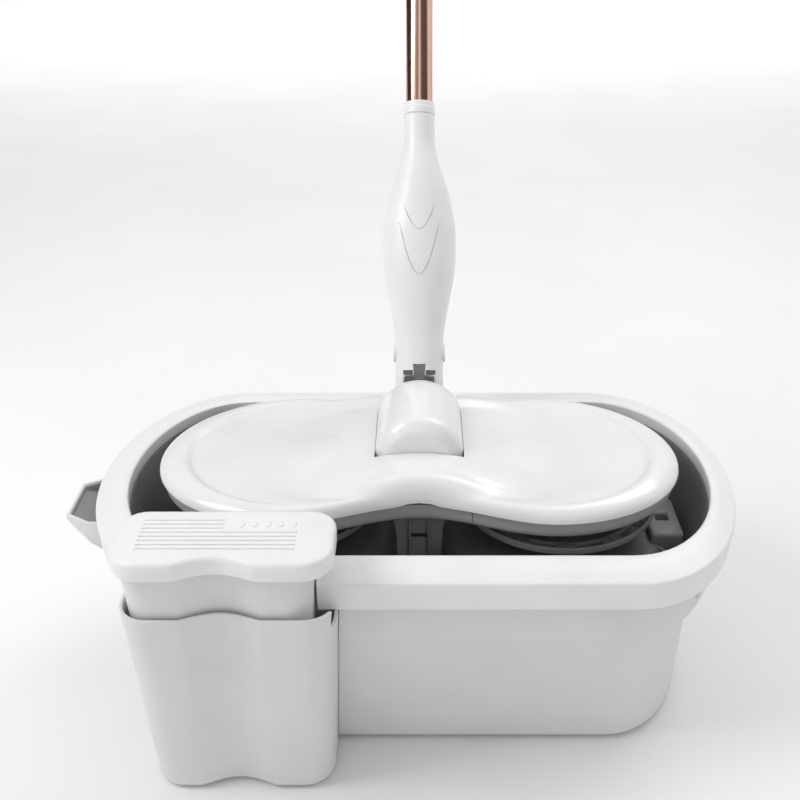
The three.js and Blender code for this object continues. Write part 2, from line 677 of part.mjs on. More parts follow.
function lockSleeve() {
  return turned([
    [POLE_RADIUS + GAP, 566], [15, 566], [16.5, 572], [16.5, 592], [14, 612], [11.2, 612], [11.2, 601],
    [POLE_RADIUS + GAP, 601], [POLE_RADIUS + GAP, 566],
  ], 20);
}

function grip() {
  return turned([
    [11.1, 650], [14, 650], [15.5, 656], [15.5, 790], [14, 798], [9, POLE_END], [9, 773], [11.1, 773],
    [11.1, 650],
  ], 20);
}

// The plug closes the grip and carries the hanging eye.
function gripPlug() {
  const plug = turned([[0, 795], [8.7, 795], [8.7, 800.4], [13, 800.4], [12, 808], [0, 809.5]], 16);
  const { height, radius, bore, thick } = EYE;
  const eye = join(
    box(-thick / 2, thick / 2, -radius, radius, 804, height),
    rod('x', radius, -thick / 2, thick / 2, 0, height, 16),
  );
  return cut(join(plug, eye), rod('x', bore, -radius, radius, 0, height, 12));
}

// ---------- assembly ----------
const model = new THREE.Group();
const handle = new THREE.Group();
handle.position.set(0, TILT.y, TILT.z);
handle.rotation.x = -THREE.MathUtils.degToRad(TILT.lean);
model.add(handle);

function place(name, geometry, finishName, group = model) {
  const mesh = new THREE.Mesh(closed(geometry), finish(finishName));
  mesh.name = name;
  group.add(mesh);
}

place('bucket_body', bucketBody(), 'shell');
place('top_ring', topRing(), 'white');
place('pedal_housing', pedalHousing(), 'shell');
place('inner_liner', innerLiner(), 'grey');
place('ring_clip_front', ringClip(-Math.PI / 4), 'shell');
place('ring_clip_back', ringClip(Math.PI / 4), 'shell');
place('ring_clip_left', ringClip(Math.PI * 3 / 4), 'shell');
const FEET = [[-150, 75], [150, 75], [175, -70], [0, 0], [-142, -145]];
FEET.forEach(([x, y], i) => {
  place(`foot_${i + 1}`, foot(x, y), 'rubber');
});

place('pedal_cap', pedalCap(), 'white');
place('pedal_sleeve', pedalSleeve(), 'shell');
place('pedal_rack', rack(), 'dark');
place('return_spring', spring(PEDAL.x - 30, SPRING.y), 'steel');

place('drive_shaft', rod('y', SHAFT_RADIUS, -165, -12.6, -BASKET_X, DRIVE_Z), 'steel');
place('rack_pinion', rackPinion(), 'dark');
place('crown_gear', crownGear(), 'dark');
place('drive_bush_front', tube(7.6, SHAFT_RADIUS + GAP, 112, 126, 16)
  .rotateX(Math.PI / 2).translate(-BASKET_X, 0, DRIVE_Z), 'dark');
place('clutch_gear', clutchGear(), 'dark');
place('clutch_ring', tube(10.2, SHAFT_RADIUS + GAP, 80.3, 90, 20, -BASKET_X), 'steel');

for (const [side, x] of [['left', -BASKET_X], ['right', BASKET_X]]) {
  place(`basket_${side}`, basket(x), 'grey');
  place(`basket_shaft_${side}`, rod('z', SHAFT_RADIUS, 5.5, 160, x, 0), 'steel');
  place(`basket_bush_${side}`, bushing(x), 'dark');
  place(`basket_gear_${side}`, gear(BASKET_GEAR, 9.5, 16, SHAFT_RADIUS + GAP, x, 0, 0), 'dark');
  place(`hub_nut_${side}`, hubNut(x), 'white');
  place(`disc_${side}`, mopDisc(x), 'dark');
  place(`pad_${side}`, mopPad(x), 'fibre');
  place(`spindle_${side}`, spindle(x), 'steel');
}
const IDLER_PHASE = Math.PI / IDLER_GEAR.teeth;
place('idler_gear', gear(IDLER_GEAR, 9.5, 16, SHAFT_RADIUS + GAP, 0, 0, IDLER_PHASE), 'dark');
place('idler_axle', turned([[0, 5.5], [4, 5.5], [4, 16.4], [7, 16.4], [7, 19], [0, 19]], 16), 'steel');

place('head_cover', headCover(), 'white');
place('head_base', headBase(), 'band');
SCREW_PLACES.forEach(([x, y], i) => {
  place(`head_screw_${i + 1}`, screw(x, y, HEAD_FLOOR - GAP, 12), 'steel');
});
place('roll_pin', rod('y', 3, BLOCK.front - 4.4, BLOCK.back + 4.4, 0, ROLL_Z, 12), 'steel');
place('swivel_block', swivelBlock(), 'white');
place('knuckle', knuckle(), 'dark');

place('tilt_pin', rod('x', 3.5, -23, 23, 0, 0, 12), 'steel', handle);
place('bulb_front', bulbHalf(-1), 'white', handle);
place('bulb_back', bulbHalf(1), 'white', handle);
place('collar', tube(14.2, POLE_RADIUS + GAP, ...COLLAR, 20), 'white', handle);
place('lower_pole', tube(POLE_RADIUS, 11.2, 150, LOWER_POLE_TOP, 20), 'pole', handle);
place('lock_sleeve', lockSleeve(), 'white', handle);
place('upper_pole', tube(10.8, 9.8, ...UPPER_POLE, 20), 'pole', handle);
place('grip', grip(), 'white', handle);
place('grip_plug', gripPlug(), 'white', handle);

export default model;
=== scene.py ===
"""Looks of the pedal bucket and its twin-disc mop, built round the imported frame.

Lengths are in millimetres until new_object() turns them into metres.
"""
import math
import random

import bmesh
import bpy
import numpy as np
from mathutils import Matrix, Vector


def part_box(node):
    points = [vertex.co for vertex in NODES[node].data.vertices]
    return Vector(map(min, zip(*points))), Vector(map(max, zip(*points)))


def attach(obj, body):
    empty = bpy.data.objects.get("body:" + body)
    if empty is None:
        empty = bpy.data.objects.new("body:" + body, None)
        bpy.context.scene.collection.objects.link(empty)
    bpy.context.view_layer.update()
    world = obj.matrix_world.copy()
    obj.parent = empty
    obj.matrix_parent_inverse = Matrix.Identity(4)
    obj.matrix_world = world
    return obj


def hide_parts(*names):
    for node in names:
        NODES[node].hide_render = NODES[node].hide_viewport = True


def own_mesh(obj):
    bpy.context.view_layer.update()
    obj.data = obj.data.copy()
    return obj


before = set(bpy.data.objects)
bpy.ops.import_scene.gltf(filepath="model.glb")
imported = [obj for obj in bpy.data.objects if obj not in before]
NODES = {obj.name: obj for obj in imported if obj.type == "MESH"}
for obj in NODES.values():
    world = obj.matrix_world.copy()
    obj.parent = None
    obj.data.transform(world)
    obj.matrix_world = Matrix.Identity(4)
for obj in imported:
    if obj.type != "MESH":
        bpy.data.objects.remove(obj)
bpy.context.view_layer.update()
MM = 0.001


def low(node):
    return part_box(node)[0] / MM


def high(node):
    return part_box(node)[1] / MM


# ---------- sizes taken from the frame ----------
WALL = 2.5
BASKET_X = (low("basket_shaft_right").x + high("basket_shaft_right").x) / 2
RIM_Z = high("top_ring").z
SKIRT_Z = low("top_ring").z
BAND_TOP = high("bucket_body").z
FLOOR_Z = low("bucket_body").z
STEP_Z = 128
# plan sizes: half length, half depth, end radius, extra length at the spout end
RIM = (250, 127, 85, 0)
RING = (high("top_ring").x, high("top_ring").y, 104, 6)
BAND = (high("bucket_body").x, high("bucket_body").y, 98, 0)
BODY_TOP = (241, 143, 84, 0)
BODY_BOTTOM = (239, 123, 80, 0)
LINER_BOTTOM = (232, 115, 75, 0)
TRAY_Z = low("inner_liner").z
DRUM_TOP = 141
CAP_LOW, CAP_HIGH = low("pedal_cap"), high("pedal_cap")
CAP_X = (CAP_LOW.x + CAP_HIGH.x) / 2
CAP_HALF = (CAP_HIGH.x - CAP_LOW.x) / 2
HOUSING_FRONT, HOUSING_BACK = low("pedal_housing").y, high("pedal_housing").y
HOUSING_TOP = high("pedal_housing").z
FRONT_DRAFT, SIDE_DRAFT = 0.07, 0.047
SLEEVE_X, SLEEVE_HALF = -148, 69
HEAD_A = high("head_cover").x
HEAD_B = high("head_cover").y
LOBE_X, WAIST = 110, 75
LIP_Z = 207
HEAD_FLOOR = low("head_base").z
SADDLE_RISE = 17.5
ROLL_Z = 221
BLOCK_R, BLOCK_FRONT, BLOCK_BACK = high("swivel_block").x, low("swivel_block").y, high("swivel_block").y
LEAN = math.radians(27.5)
PIN_Y, PIN_Z = 80, 272
HANDLE = Matrix.Translation((0, PIN_Y * MM, PIN_Z * MM)) @ Matrix.Rotation(-LEAN, 4, "X")
# these lay a body turned about +Z along the roll pin and along the tilt pin
STAND = Matrix.Translation((0, 0, ROLL_Z * MM)) @ Matrix.Rotation(-math.pi / 2, 4, "X")
PIN_TURN = Matrix.Translation((0, PIN_Y * MM, PIN_Z * MM)) @ Matrix.Rotation(math.pi / 2, 4, "Y")
POLE_R = 12.25


def grow(size, d):
    a, b, rx, left = size
    return (a + d, b + d, rx + d, left)


# ---------- mesh tools ----------
def new_object(name, points, faces):
    mesh = bpy.data.meshes.new(name)
    mesh.from_pydata([tuple(float(c) * MM for c in p) for p in points], [], faces)
    bm = bmesh.new()
    bm.from_mesh(mesh)
    bmesh.ops.remove_doubles(bm, verts=bm.verts, dist=1e-6)
    bmesh.ops.recalc_face_normals(bm, faces=bm.faces)
    bm.to_mesh(mesh)
    bm.free()
    obj = bpy.data.objects.new(name, mesh)
    bpy.context.scene.collection.objects.link(obj)
    return obj


def skin(name, rings, closed=False):
    """A closed surface through rings of equal count; closed joins the last ring to the first."""
    n = len(rings[0])
    faces = []
    for i in range(len(rings) if closed else len(rings) - 1):
        j = (i + 1) % len(rings)
        for k in range(n):
            m = (k + 1) % n
            faces.append((i * n + k, i * n + m, j * n + m, j * n + k))
    if not closed:
        faces.append(tuple(reversed(range(n))))
        faces.append(tuple((len(rings) - 1) * n + k for k in range(n)))
    return new_object(name, [p for ring in rings for p in ring], faces)


def rounded(profile, closed=False, steps=5):
    """Rounds a profile's corners. Each entry is (corner radius, coordinates...)."""
    points = [np.array(entry[1:], float) for entry in profile]
    out = []
    for i, (radius, *_rest) in enumerate(profile):
        here = points[i]
        if radius == 0 or (not closed and i in (0, len(profile) - 1)):
            out.append(here)
            continue
        ends = []
        for other in (points[i - 1], points[(i + 1) % len(points)]):
            step = other - here
            ends.append(here + step * min(radius / max(np.hypot(*step[:2]), 1e-6), 0.5))
        for k in range(steps + 1):
            t = k / steps
            out.append((1 - t) ** 2 * ends[0] + 2 * t * (1 - t) * here + t * t * ends[1])
    return out


def pill(a, b, rx, left, steps=36):
    points = []
    for side in (1, -1):
        extra = left if side < 0 else 0
        for i in range(steps + 1):
            angle = side * math.pi * (i / steps - 0.5)
            points.append((side * (a - rx + (rx + extra) * math.cos(angle)), b * math.sin(angle)))
    return points


def pill_skin(name, profile, closed=False, steps=5):
    """Profile entries are (corner radius, height, half length, half depth, end radius, extra left)."""
    rings = []
    for z, *size in rounded(profile, closed, steps):
        rings.append([(x, y, z) for x, y in pill(*size)])
    return skin(name, rings, closed)


def lathe(name, profile, sides=96, centre=(0, 0), closed=False, steps=5):
    """Profile entries are (corner radius, radius, height)."""
    rings = []
    for r, z in rounded(profile, closed, steps):
        r = max(r, 0.05)
        angles = [2 * math.pi * k / sides for k in range(sides)]
        rings.append([(centre[0] + r * math.cos(a), centre[1] + r * math.sin(a), z) for a in angles])
    return skin(name, rings, closed)


def block(name, x0, x1, y0, y1, z0, z1, bevel=0.0):
    points = [(x, y, z) for z in (z0, z1) for x, y in ((x0, y0), (x1, y0), (x1, y1), (x0, y1))]
    faces = [(3, 2, 1, 0), (4, 5, 6, 7), (0, 1, 5, 4), (1, 2, 6, 5), (2, 3, 7, 6), (3, 0, 4, 7)]
    obj = new_object(name, points, faces)
    if bevel:
        soften(obj, bevel)
    return obj


def prism(name, outline, z0, z1):
    return skin(name, [[(x, y, z) for x, y in outline] for z in (z0, z1)])


def bake(obj):
    depsgraph = bpy.context.evaluated_depsgraph_get()
    mesh = bpy.data.meshes.new_from_object(obj.evaluated_get(depsgraph))
    obj.modifiers.clear()
    obj.data = mesh
    return obj


def boolean(obj, *tools, operation="DIFFERENCE"):
    for tool in tools:
        modifier = obj.modifiers.new("cut", "BOOLEAN")
        modifier.operation = operation
        modifier.solver = "EXACT"
        modifier.object = tool
        bake(obj)
        bpy.data.objects.remove(tool)
    return obj


def soften(obj, width, segments=2, angle=35):
    modifier = obj.modifiers.new("soften", "BEVEL")
    modifier.width = width * MM
    modifier.segments = segments
    modifier.limit_method = "ANGLE"
    modifier.angle_limit = math.radians(angle)
    return bake(obj)


def turned_to(obj, matrix):
    obj.data.transform(matrix)
    return obj


def merged(name, objects):
    """One object from several that touch or pass through each other."""
    bm = bmesh.new()
    for obj in objects:
        bm.from_mesh(obj.data)
        bpy.data.objects.remove(obj)
    mesh = bpy.data.meshes.new(name)
    bm.to_mesh(mesh)
    bm.free()
    result = bpy.data.objects.new(name, mesh)
    bpy.context.scene.collection.objects.link(result)
    return result


def piece(obj, body, material, replaces=(), angle=32):
    obj.data.materials.clear()
    obj.data.materials.append(material)
    obj.data.shade_smooth()
    obj.data.set_sharp_from_angle(angle=math.radians(angle))
    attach(obj, body)
    if replaces:
        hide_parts(*replaces)
    return obj


# ---------- materials ----------
class Graph:
    """A material's node tree, with short calls for what the finishes below share."""

    def __init__(self, name):
        self.material = bpy.data.materials.new(name)
        self.material.use_nodes = True
        self.nodes = self.material.node_tree.nodes
        self.links = self.material.node_tree.links
        self.shader = self.nodes["Principled BSDF"]
        self.where = self.nodes.new("ShaderNodeTexCoord").outputs["Object"]

    def noise(self, scale, detail=3, roughness=0.5, stretch=None):
        node = self.nodes.new("ShaderNodeTexNoise")
        node.inputs["Scale"].default_value = scale
        node.inputs["Detail"].default_value = detail
        node.inputs["Roughness"].default_value = roughness
        source = self.where
        if stretch:
            mapping = self.nodes.new("ShaderNodeMapping")
            mapping.inputs["Scale"].default_value = stretch[1]
            mapping.inputs["Rotation"].default_value = stretch[0]
            self.links.new(source, mapping.inputs["Vector"])
            source = mapping.outputs["Vector"]
        self.links.new(source, node.inputs["Vector"])
        return node.outputs["Fac"]

    def ramp(self, factor, stops):
        node = self.nodes.new("ShaderNodeValToRGB")
        elements = node.color_ramp.elements
        while len(elements) < len(stops):
            elements.new(0.5)
        for element, (position, colour) in zip(elements, stops):
            element.position = position
            element.color = (*colour, 1)
        self.links.new(factor, node.inputs["Fac"])
        self.links.new(node.outputs["Color"], self.shader.inputs["Base Color"])

    def roughness(self, factor, low_value, high_value):
        node = self.nodes.new("ShaderNodeMapRange")
        node.inputs["From Min"].default_value = 0.3
        node.inputs["From Max"].default_value = 0.7
        node.inputs["To Min"].default_value = low_value
        node.inputs["To Max"].default_value = high_value
        self.links.new(factor, node.inputs["Value"])
        self.links.new(node.outputs["Result"], self.shader.inputs["Roughness"])

    def bump(self, *layers):
        """Layers are (factor, strength, distance in millimetres)."""
        normal = None
        for factor, strength, distance in layers:
            node = self.nodes.new("ShaderNodeBump")
            node.inputs["Strength"].default_value = strength
            node.inputs["Distance"].default_value = distance * MM
            self.links.new(factor, node.inputs["Height"])
            if normal:
                self.links.new(normal, node.inputs["Normal"])
            normal = node.outputs["Normal"]
        self.links.new(normal, self.shader.inputs["Normal"])


def shade(colour, factor):
    return tuple(min(1.0, c * factor) for c in colour)


def plastic(name, colour, rough, spread=0.035, grain=0.12, coat=0.0):
    """Injection-moulded plastic: faint flow variation, a fine moulded grain and slow surface waviness."""
    graph = Graph(name)
    flow = graph.noise(14, 4, 0.55)
    darker, lighter = shade(colour, 1 - spread), shade(colour, 1 + spread * 0.5)
    graph.ramp(flow, [(0.32, darker), (0.5, colour), (0.68, lighter)])
    graph.roughness(graph.noise(60, 3), rough * 0.85, rough * 1.2)
    graph.bump((graph.noise(9, 2), 0.12, 0.6), (graph.noise(1500, 2, 0.6), grain, 0.06))
    graph.shader.inputs["IOR"].default_value = 1.49
    graph.shader.inputs["Coat Weight"].default_value = coat
    graph.shader.inputs["Coat Roughness"].default_value = 0.08
    return graph.material


def metal(name, colour, rough, stretch, spread=0.06):
    """Drawn or turned metal, with fine marks along one direction."""
    graph = Graph(name)
    marks = graph.noise(260, 5, 0.65, stretch)
    darker, lighter = shade(colour, 1 - spread), shade(colour, 1 + spread * 0.5)
    graph.ramp(marks, [(0.3, darker), (0.5, colour), (0.7, lighter)])
    graph.roughness(marks, rough * 0.7, rough * 1.4)
    graph.bump((marks, 0.06, 0.03))
    graph.shader.inputs["Metallic"].default_value = 1.0
    return graph.material


def fibre(name, colour):
    """Looped microfibre: clumps of lighter and darker strands."""
    graph = Graph(name)
    strands = graph.noise(420, 6, 0.7)
    clumps = graph.noise(70, 3)
    graph.ramp(clumps, [(0.3, shade(colour, 0.7)), (0.5, colour), (0.7, shade(colour, 1.25))])
    graph.bump((clumps, 0.5, 1.0), (strands, 0.9, 0.5))
    graph.shader.inputs["Roughness"].default_value = 0.95
    graph.shader.inputs["Sheen Weight"].default_value = 0.4
    return graph.material


GLOSS_WHITE = plastic("gloss_white", (0.86, 0.86, 0.862), 0.2, coat=0.3)
RING_WHITE = plastic("ring_white", (0.86, 0.86, 0.862), 0.36, coat=0.05)
SHELL_WHITE = plastic("satin_shell", (0.74, 0.74, 0.745), 0.42, grain=0.2)
# grey liner plastic, set a little darker than its own grey as painted shade for the shaded floor between the
# drums
LINER_GREY_AND_SHADE = plastic("liner_grey_and_shade", (0.19, 0.19, 0.195), 0.5, spread=0.08, grain=0.25)
BASKET_GREY = plastic("basket_grey", (0.33, 0.33, 0.335), 0.42, spread=0.08, grain=0.2)
DARK = plastic("dark_grey", (0.045, 0.045, 0.048), 0.5, spread=0.12, grain=0.3)
BAND_GREY = plastic("band_grey", (0.42, 0.42, 0.425), 0.42, spread=0.05, grain=0.2)
KNUCKLE_GREY = plastic("knuckle_grey", (0.7, 0.7, 0.705), 0.45, spread=0.1, grain=0.25)
RUBBER = plastic("foot_rubber", (0.03, 0.03, 0.03), 0.8, spread=0.15, grain=0.6)
TURN = (LEAN, 0, 0)
ROSE_GOLD = metal("rose_gold", (0.83, 0.5, 0.4), 0.13, (TURN, (1, 1, 0.02)))
STEEL = metal("turned_steel", (0.6, 0.6, 0.62), 0.28, ((0, 0, 0), (0.05, 1, 1)))
MICROFIBRE = fibre("looped_microfibre", (0.42, 0.42, 0.44))


# ---------- bucket ----------
def housing_plan(front, back, half, corner, middle=CAP_X, back_corner=0.0):
    """The wavy-fronted plan shared by the pedal's housing, sleeve and cap."""
    left, right = middle - half, middle + half
    points = []

    def arc(cx, cy, radius, start, end, steps):
        for i in range(steps + 1):
            angle = start + (end - start) * i / steps
            points.append((cx + radius * math.cos(angle), cy + radius * math.sin(angle)))

    arc(left + corner, front + corner, corner, math.pi, math.pi * 1.5, 10)
    wave_from, wave_to = CAP_X - 34, CAP_X + 26
    for i in range(25):
        t = i / 24
        depth = 9 * math.sin(math.pi * t) * (0.86 + 0.14 * math.sin(math.pi * t))
        points.append((wave_from + (wave_to - wave_from) * t, front + depth))
    arc(right - corner, front + corner, corner, math.pi * 1.5, math.pi * 2, 10)
    radius = max(back_corner, 0.05)
    arc(right - radius, back - radius, radius, 0, math.pi / 2, 6)
    arc(left + radius, back - radius, radius, math.pi / 2, math.pi, 6)
    return points


def housing_skin(name, profile, middle=CAP_X, closed=False):
    """Profile entries are (corner radius, height, inset, front, back, half width, corner, back corner)."""
    rings = []
    for z, inset, front, back, half, corner, back_corner in rounded(profile, closed):
        plan = housing_plan(front + inset, back - inset, half - inset, max(corner - inset, 1), middle,
                            max(back_corner - inset, 0))
        rings.append([(x, y, z) for x, y in plan])
    return skin(name, rings, closed)


def housing_level(radius, z, inset):
    below = HOUSING_TOP - z
    front = HOUSING_FRONT + below * FRONT_DRAFT
    return (radius, z, inset, front, HOUSING_BACK, CAP_HALF - below * SIDE_DRAFT, 24, 0)


def housing_room(name):
    back = HOUSING_BACK + 0.5
    plans = [(0, CAP_HALF - 8.2), (HOUSING_TOP, CAP_HALF + 0.5), (186, CAP_HALF + 0.5)]
    return skin(name, [[(x, y, z) for x, y in housing_plan(-215, back, half, 10)] for z, half in plans])


def sleeve_room(name, clearance, start):
    plan = housing_plan(-215, HOUSING_BACK + 0.5, SLEEVE_HALF + clearance, 10, SLEEVE_X)
    return prism(name, plan, start, 260)


def spout():
    """An open wedge with a drip edge at the left end."""
    tip, root, lip, foot = -307, -249, 161, STEP_Z

    def wedge(name, d, top):
        side = [
            (root, top), (tip + d, top), (tip + d, lip), (-262 + 2 * d, foot + 2 * d), (root, foot + 2 * d),
        ]
        half = 38 - d
        body = skin(name, [[(x, y, z) for x, z in side] for y in (-half, half)])
        plan = [
            (-240, -half), (-240, half), (-285, half), (tip + d, 26 - d), (tip + d, -26 + d), (-285, -half),
        ]
        return boolean(body, prism(name + "_plan", plan, 100, 200), operation="INTERSECT")
    shell = boolean(wedge("spout", 0, 166), wedge("spout_channel", WALL, 172))
    lining = boolean(wedge("spout_lining", WALL + 0.02, 163.5), wedge("spout_hollow", WALL + 0.6, 172))
    return soften(shell, 0.7), lining


def build_bucket():
    shell = pill_skin("bucket_shell", [
        (0, FLOOR_Z, *grow(BODY_BOTTOM, -14)),
        (6, FLOOR_Z, *BODY_BOTTOM),
        (1.6, STEP_Z - 0.5, *BODY_TOP),
        (2.2, STEP_Z + 2, *BAND),
        (0.8, BAND_TOP, *BAND),
        (0.8, BAND_TOP, *grow(BAND, -WALL)),
        (2, STEP_Z + 3, *grow(BAND, -WALL)),
        (2, STEP_Z, *grow(BODY_TOP, -WALL)),
        (4, FLOOR_Z + WALL, *grow(BODY_BOTTOM, -WALL)),
        (0, FLOOR_Z + WALL, *grow(BODY_BOTTOM, -20)),
    ])
    boolean(shell, housing_room("room"), sleeve_room("sleeve_room", 2, 150))
    piece(shell, "bucket", SHELL_WHITE, ["bucket_body"])
    shell, lining = spout()
    piece(shell, "bucket", SHELL_WHITE)
    piece(lining, "bucket", BASKET_GREY)


def build_ring():
    shoulder = (255, 142, 93, 6)
    ring = pill_skin("rim_ring", [
        (0.8, SKIRT_Z, *grow(RING, -1.6)),
        (1.8, RIM_Z - 6.2, *RING),
        (4, RIM_Z, *shoulder),
        (2.4, RIM_Z, *RIM),
        (0.8, RIM_Z - 12, *RIM),
        (0.8, RIM_Z - 12, *grow(RIM, WALL)),
        (1, RIM_Z - 3.5, *grow(RIM, WALL)),
        (1, RIM_Z - 3.5, 252, 139, 90, 6),
        (2, RIM_Z - 9, *grow(RING, -3)),
        (0.6, SKIRT_Z, *grow(RING, -4.6)),
    ], closed=True)
    boolean(ring, sleeve_room("ring_room", 2.0, 150))
    piece(ring, "bucket", RING_WHITE, ["top_ring"])


def build_clips():
    for node in ("ring_clip_front", "ring_clip_back", "ring_clip_left"):
        clip = NODES[node].copy()
        clip.data = NODES[node].data.copy()
        clip.name = node + "_moulded"
        bpy.context.scene.collection.objects.link(clip)
        clip.parent = None
        weld(clip)
        soften(clip, 1.1, 3)
        piece(clip, "bucket", SHELL_WHITE, [node])


def weld(obj):
    bm = bmesh.new()
    bm.from_mesh(obj.data)
    bmesh.ops.remove_doubles(bm, verts=bm.verts, dist=1e-6)
    bmesh.ops.dissolve_limit(bm, angle_limit=math.radians(1), verts=bm.verts, edges=bm.edges)
    bm.to_mesh(obj.data)
    bm.free()


def build_housing():
    shell = housing_skin("pedal_housing_shell", [
        (0, *housing_level(0, FLOOR_Z, 16)[1:]),
        (4, *housing_level(0, FLOOR_Z, 0)[1:]),
        (0.9, *housing_level(0, HOUSING_TOP, 0)[1:]),
        (0.9, *housing_level(0, HOUSING_TOP, WALL)[1:]),
        (3, *housing_level(0, FLOOR_Z + WALL, WALL)[1:]),
        (0, *housing_level(0, FLOOR_Z + WALL, 18)[1:]),
    ])
    boolean(
        shell,
        block("ring_way", SLEEVE_X + SLEEVE_HALF, 0, -178, 0, SKIRT_Z - 0.3, 200),
        block("ring_way_left", -260, SLEEVE_X - SLEEVE_HALF - 1.5, -145, 0, SKIRT_Z - 0.3, 200),
    )
    piece(shell, "bucket", SHELL_WHITE, ["pedal_housing"])


def drum(name, x):
    top = DRUM_TOP
    shell = lathe(name, [
        (1, 103, TRAY_Z + 1), (3, 101, top - 13), (5, 95.5, top - 3.5), (4, 88, top), (1.5, 58, top),
        (1.5, 55, top - 1.6), (1.5, 30, top - 1.6), (1.5, 27, top), (1, 9, top),
        (1, 9, top - WALL), (4, 88, top - WALL), (3, 98, top - 13), (1, 100, TRAY_Z + 1),
    ], 128, (x, 0), closed=True, steps=4)
    return shell


def end_block():
    """The stepped pocket block at the right end, with its slot and V ribs."""
    body = boolean(
        block("end_block", 203, 232, -30, 30, TRAY_Z + 1, 148), block("pocket", 212, 223, -5, 5, 120, 160),
    )
    parts = [soften(body, 3, 4)]
    for sign in (-1, 1):
        for start, end in (((205, sign * 29), (216, sign * 44)), ((216, sign * 44), (231, sign * 31))):
            along = Vector((end[0] - start[0], end[1] - start[1]))
            rib = block("rib", 0, along.length, -1, 1, TRAY_Z + 1, 139, 0.4)
            angle = math.atan2(along.y, along.x)
            foot = Matrix.Translation((start[0] * MM, start[1] * MM, 0))
            turned_to(rib, foot @ Matrix.Rotation(angle, 4, "Z"))
            parts.append(rib)
    return merged("end_pocket", parts)


def build_liner():
    liner = pill_skin("liner_shell", [
        (0, TRAY_Z, *grow(LINER_BOTTOM, -12)),
        (4, TRAY_Z, *LINER_BOTTOM),
        (10, STEP_Z, *grow(LINER_BOTTOM, 5)),
        (0.6, 183, *grow(RIM, 2)),
        (0.6, 183, *grow(RIM, 3.2)),
        (0.5, 185.6, *grow(RIM, 3.2)),
        (0.8, 185.6, *grow(RIM, -0.4)),
        (10, STEP_Z, *grow(LINER_BOTTOM, 5 - WALL)),
        (8, TRAY_Z + WALL, *grow(LINER_BOTTOM, -WALL)),
        (0, TRAY_Z + WALL, *grow(LINER_BOTTOM, -24)),
    ])
    boolean(liner, housing_room("liner_room"), sleeve_room("liner_sleeve_room", 2, 150))
    # the liner, drums and webs share the liner grey, which carries painted shade for the floor between the
    # drums
    piece(liner, "bucket", LINER_GREY_AND_SHADE, ["inner_liner"])
    piece(drum("drum_left", -BASKET_X), "bucket", LINER_GREY_AND_SHADE)
    piece(drum("drum_right", BASKET_X), "bucket", LINER_GREY_AND_SHADE)
    piece(end_block(), "bucket", BASKET_GREY)
    ribs = [block("web", x - 1, x + 1, -104, 104, TRAY_Z + 2, 87.4, 0.4) for x in (-9, 9)]
    ribs += [block("cross_web", -9, 9, y - 1, y + 1, TRAY_Z + 2, 86.8, 0.4) for y in (-62, 0, 62)]
    piece(merged("liner_webs", ribs), "bucket", LINER_GREY_AND_SHADE)


def build_basket(side, x):
    body = "basket_" + side
    dish = lathe("wringer_basket_" + side, [
        (0, 0.05, 145), (1, 13, 145), (1.5, 13, 155), (2, 60, 155), (3, 69, 160), (1.5, 72, 167),
        (1, 86, 167), (1.4, 86, 173), (1.2, 83.5, 173), (1.2, 83.5, 169.5), (1.5, 70, 169.5),
        (3, 66, 161.5), (2, 59, 157.5), (1, 13, 157.5), (0.8, 13, 160), (0, 0.05, 160),
    ], 144, (x, 0), steps=3)
    centre = Matrix.Translation((x * MM, 0, 0))
    slots, holes = 12, 24
    cuts = []
    for i in range(slots):
        slot = block("slot", 72.8, 80.4, -11.5, 11.5, 160, 180)
        turned_to(slot, centre @ Matrix.Rotation((i + 0.5) * math.pi / 6, 4, "Z"))
        cuts.append(slot)
    for i in range(holes):
        hole = lathe("hole", [(0, 2.4, 150), (0, 2.4, 162)], 12)
        reach = 30 if i % 2 else 46
        place = Matrix.Rotation(i * math.pi / 12, 4, "Z") @ Matrix.Translation((reach * MM, 0, 0))
        turned_to(hole, centre @ place)
        cuts.append(hole)
    boolean(dish, merged("basket_cuts", cuts))
    parts = [dish]
    for i in range(slots):
        rib = block("rib", 70.5, 84, -0.9, 0.9, 168.8, 171.2, 0.35)
        turned_to(rib, centre @ Matrix.Rotation(i * math.pi / 6, 4, "Z"))
        parts.append(rib)
    piece(merged("wringer_basket_" + side, parts), body, BASKET_GREY, [body])


# ---------- pedal ----------
def build_pedal():
    base, top = CAP_LOW.z, CAP_HIGH.z
    front, back = CAP_LOW.y, CAP_HIGH.y

    def level(radius, z, inset):
        return (radius, z, inset, front, back, CAP_HALF, 24, 20)

    cap = housing_skin("pedal_cap_top", [
        level(0, top - 4.5, 24), level(1.5, top - 4.5, 3.5), level(0.5, base, 2.6), level(0.5, base, 0.4),
        level(6, top, 0), level(0, top, 24),
    ])
    grooves, short_grooves, groove_pitch, groove_width = 8, 3, 5.2, 1.5
    cuts = []
    for i in range(grooves):
        y = back - 15 - i * groove_pitch
        right = CAP_X - 2 if i < short_grooves else CAP_X + 53
        half = groove_width / 2
        cuts.append(block("groove", CAP_X - 62, right, y - half, y + half, top - 1, top + 1))
    boolean(cap, merged("grooves", cuts))
    studs = []
    stud_count, stud_pitch = 5, 9.5
    for i in range(stud_count):
        x = CAP_X + 11 + i * stud_pitch
        stud = lathe("stud", [
            (0, 0.05, top - 0.5), (0, 2.6, top - 0.5), (0.5, 2.2, top + 0.9), (0, 0.05, top + 1.0),
        ], 24)
        place = Matrix.Translation((x * MM, (back - 20.2) * MM, 0))
        studs.append(turned_to(stud, place @ Matrix.Diagonal((1, 1.7, 1, 1))))
    piece(cap, "pedal", RING_WHITE, ["pedal_cap"])
    piece(merged("pedal_cap_studs", studs), "pedal", RING_WHITE)
    build_sleeve()
    build_spring()


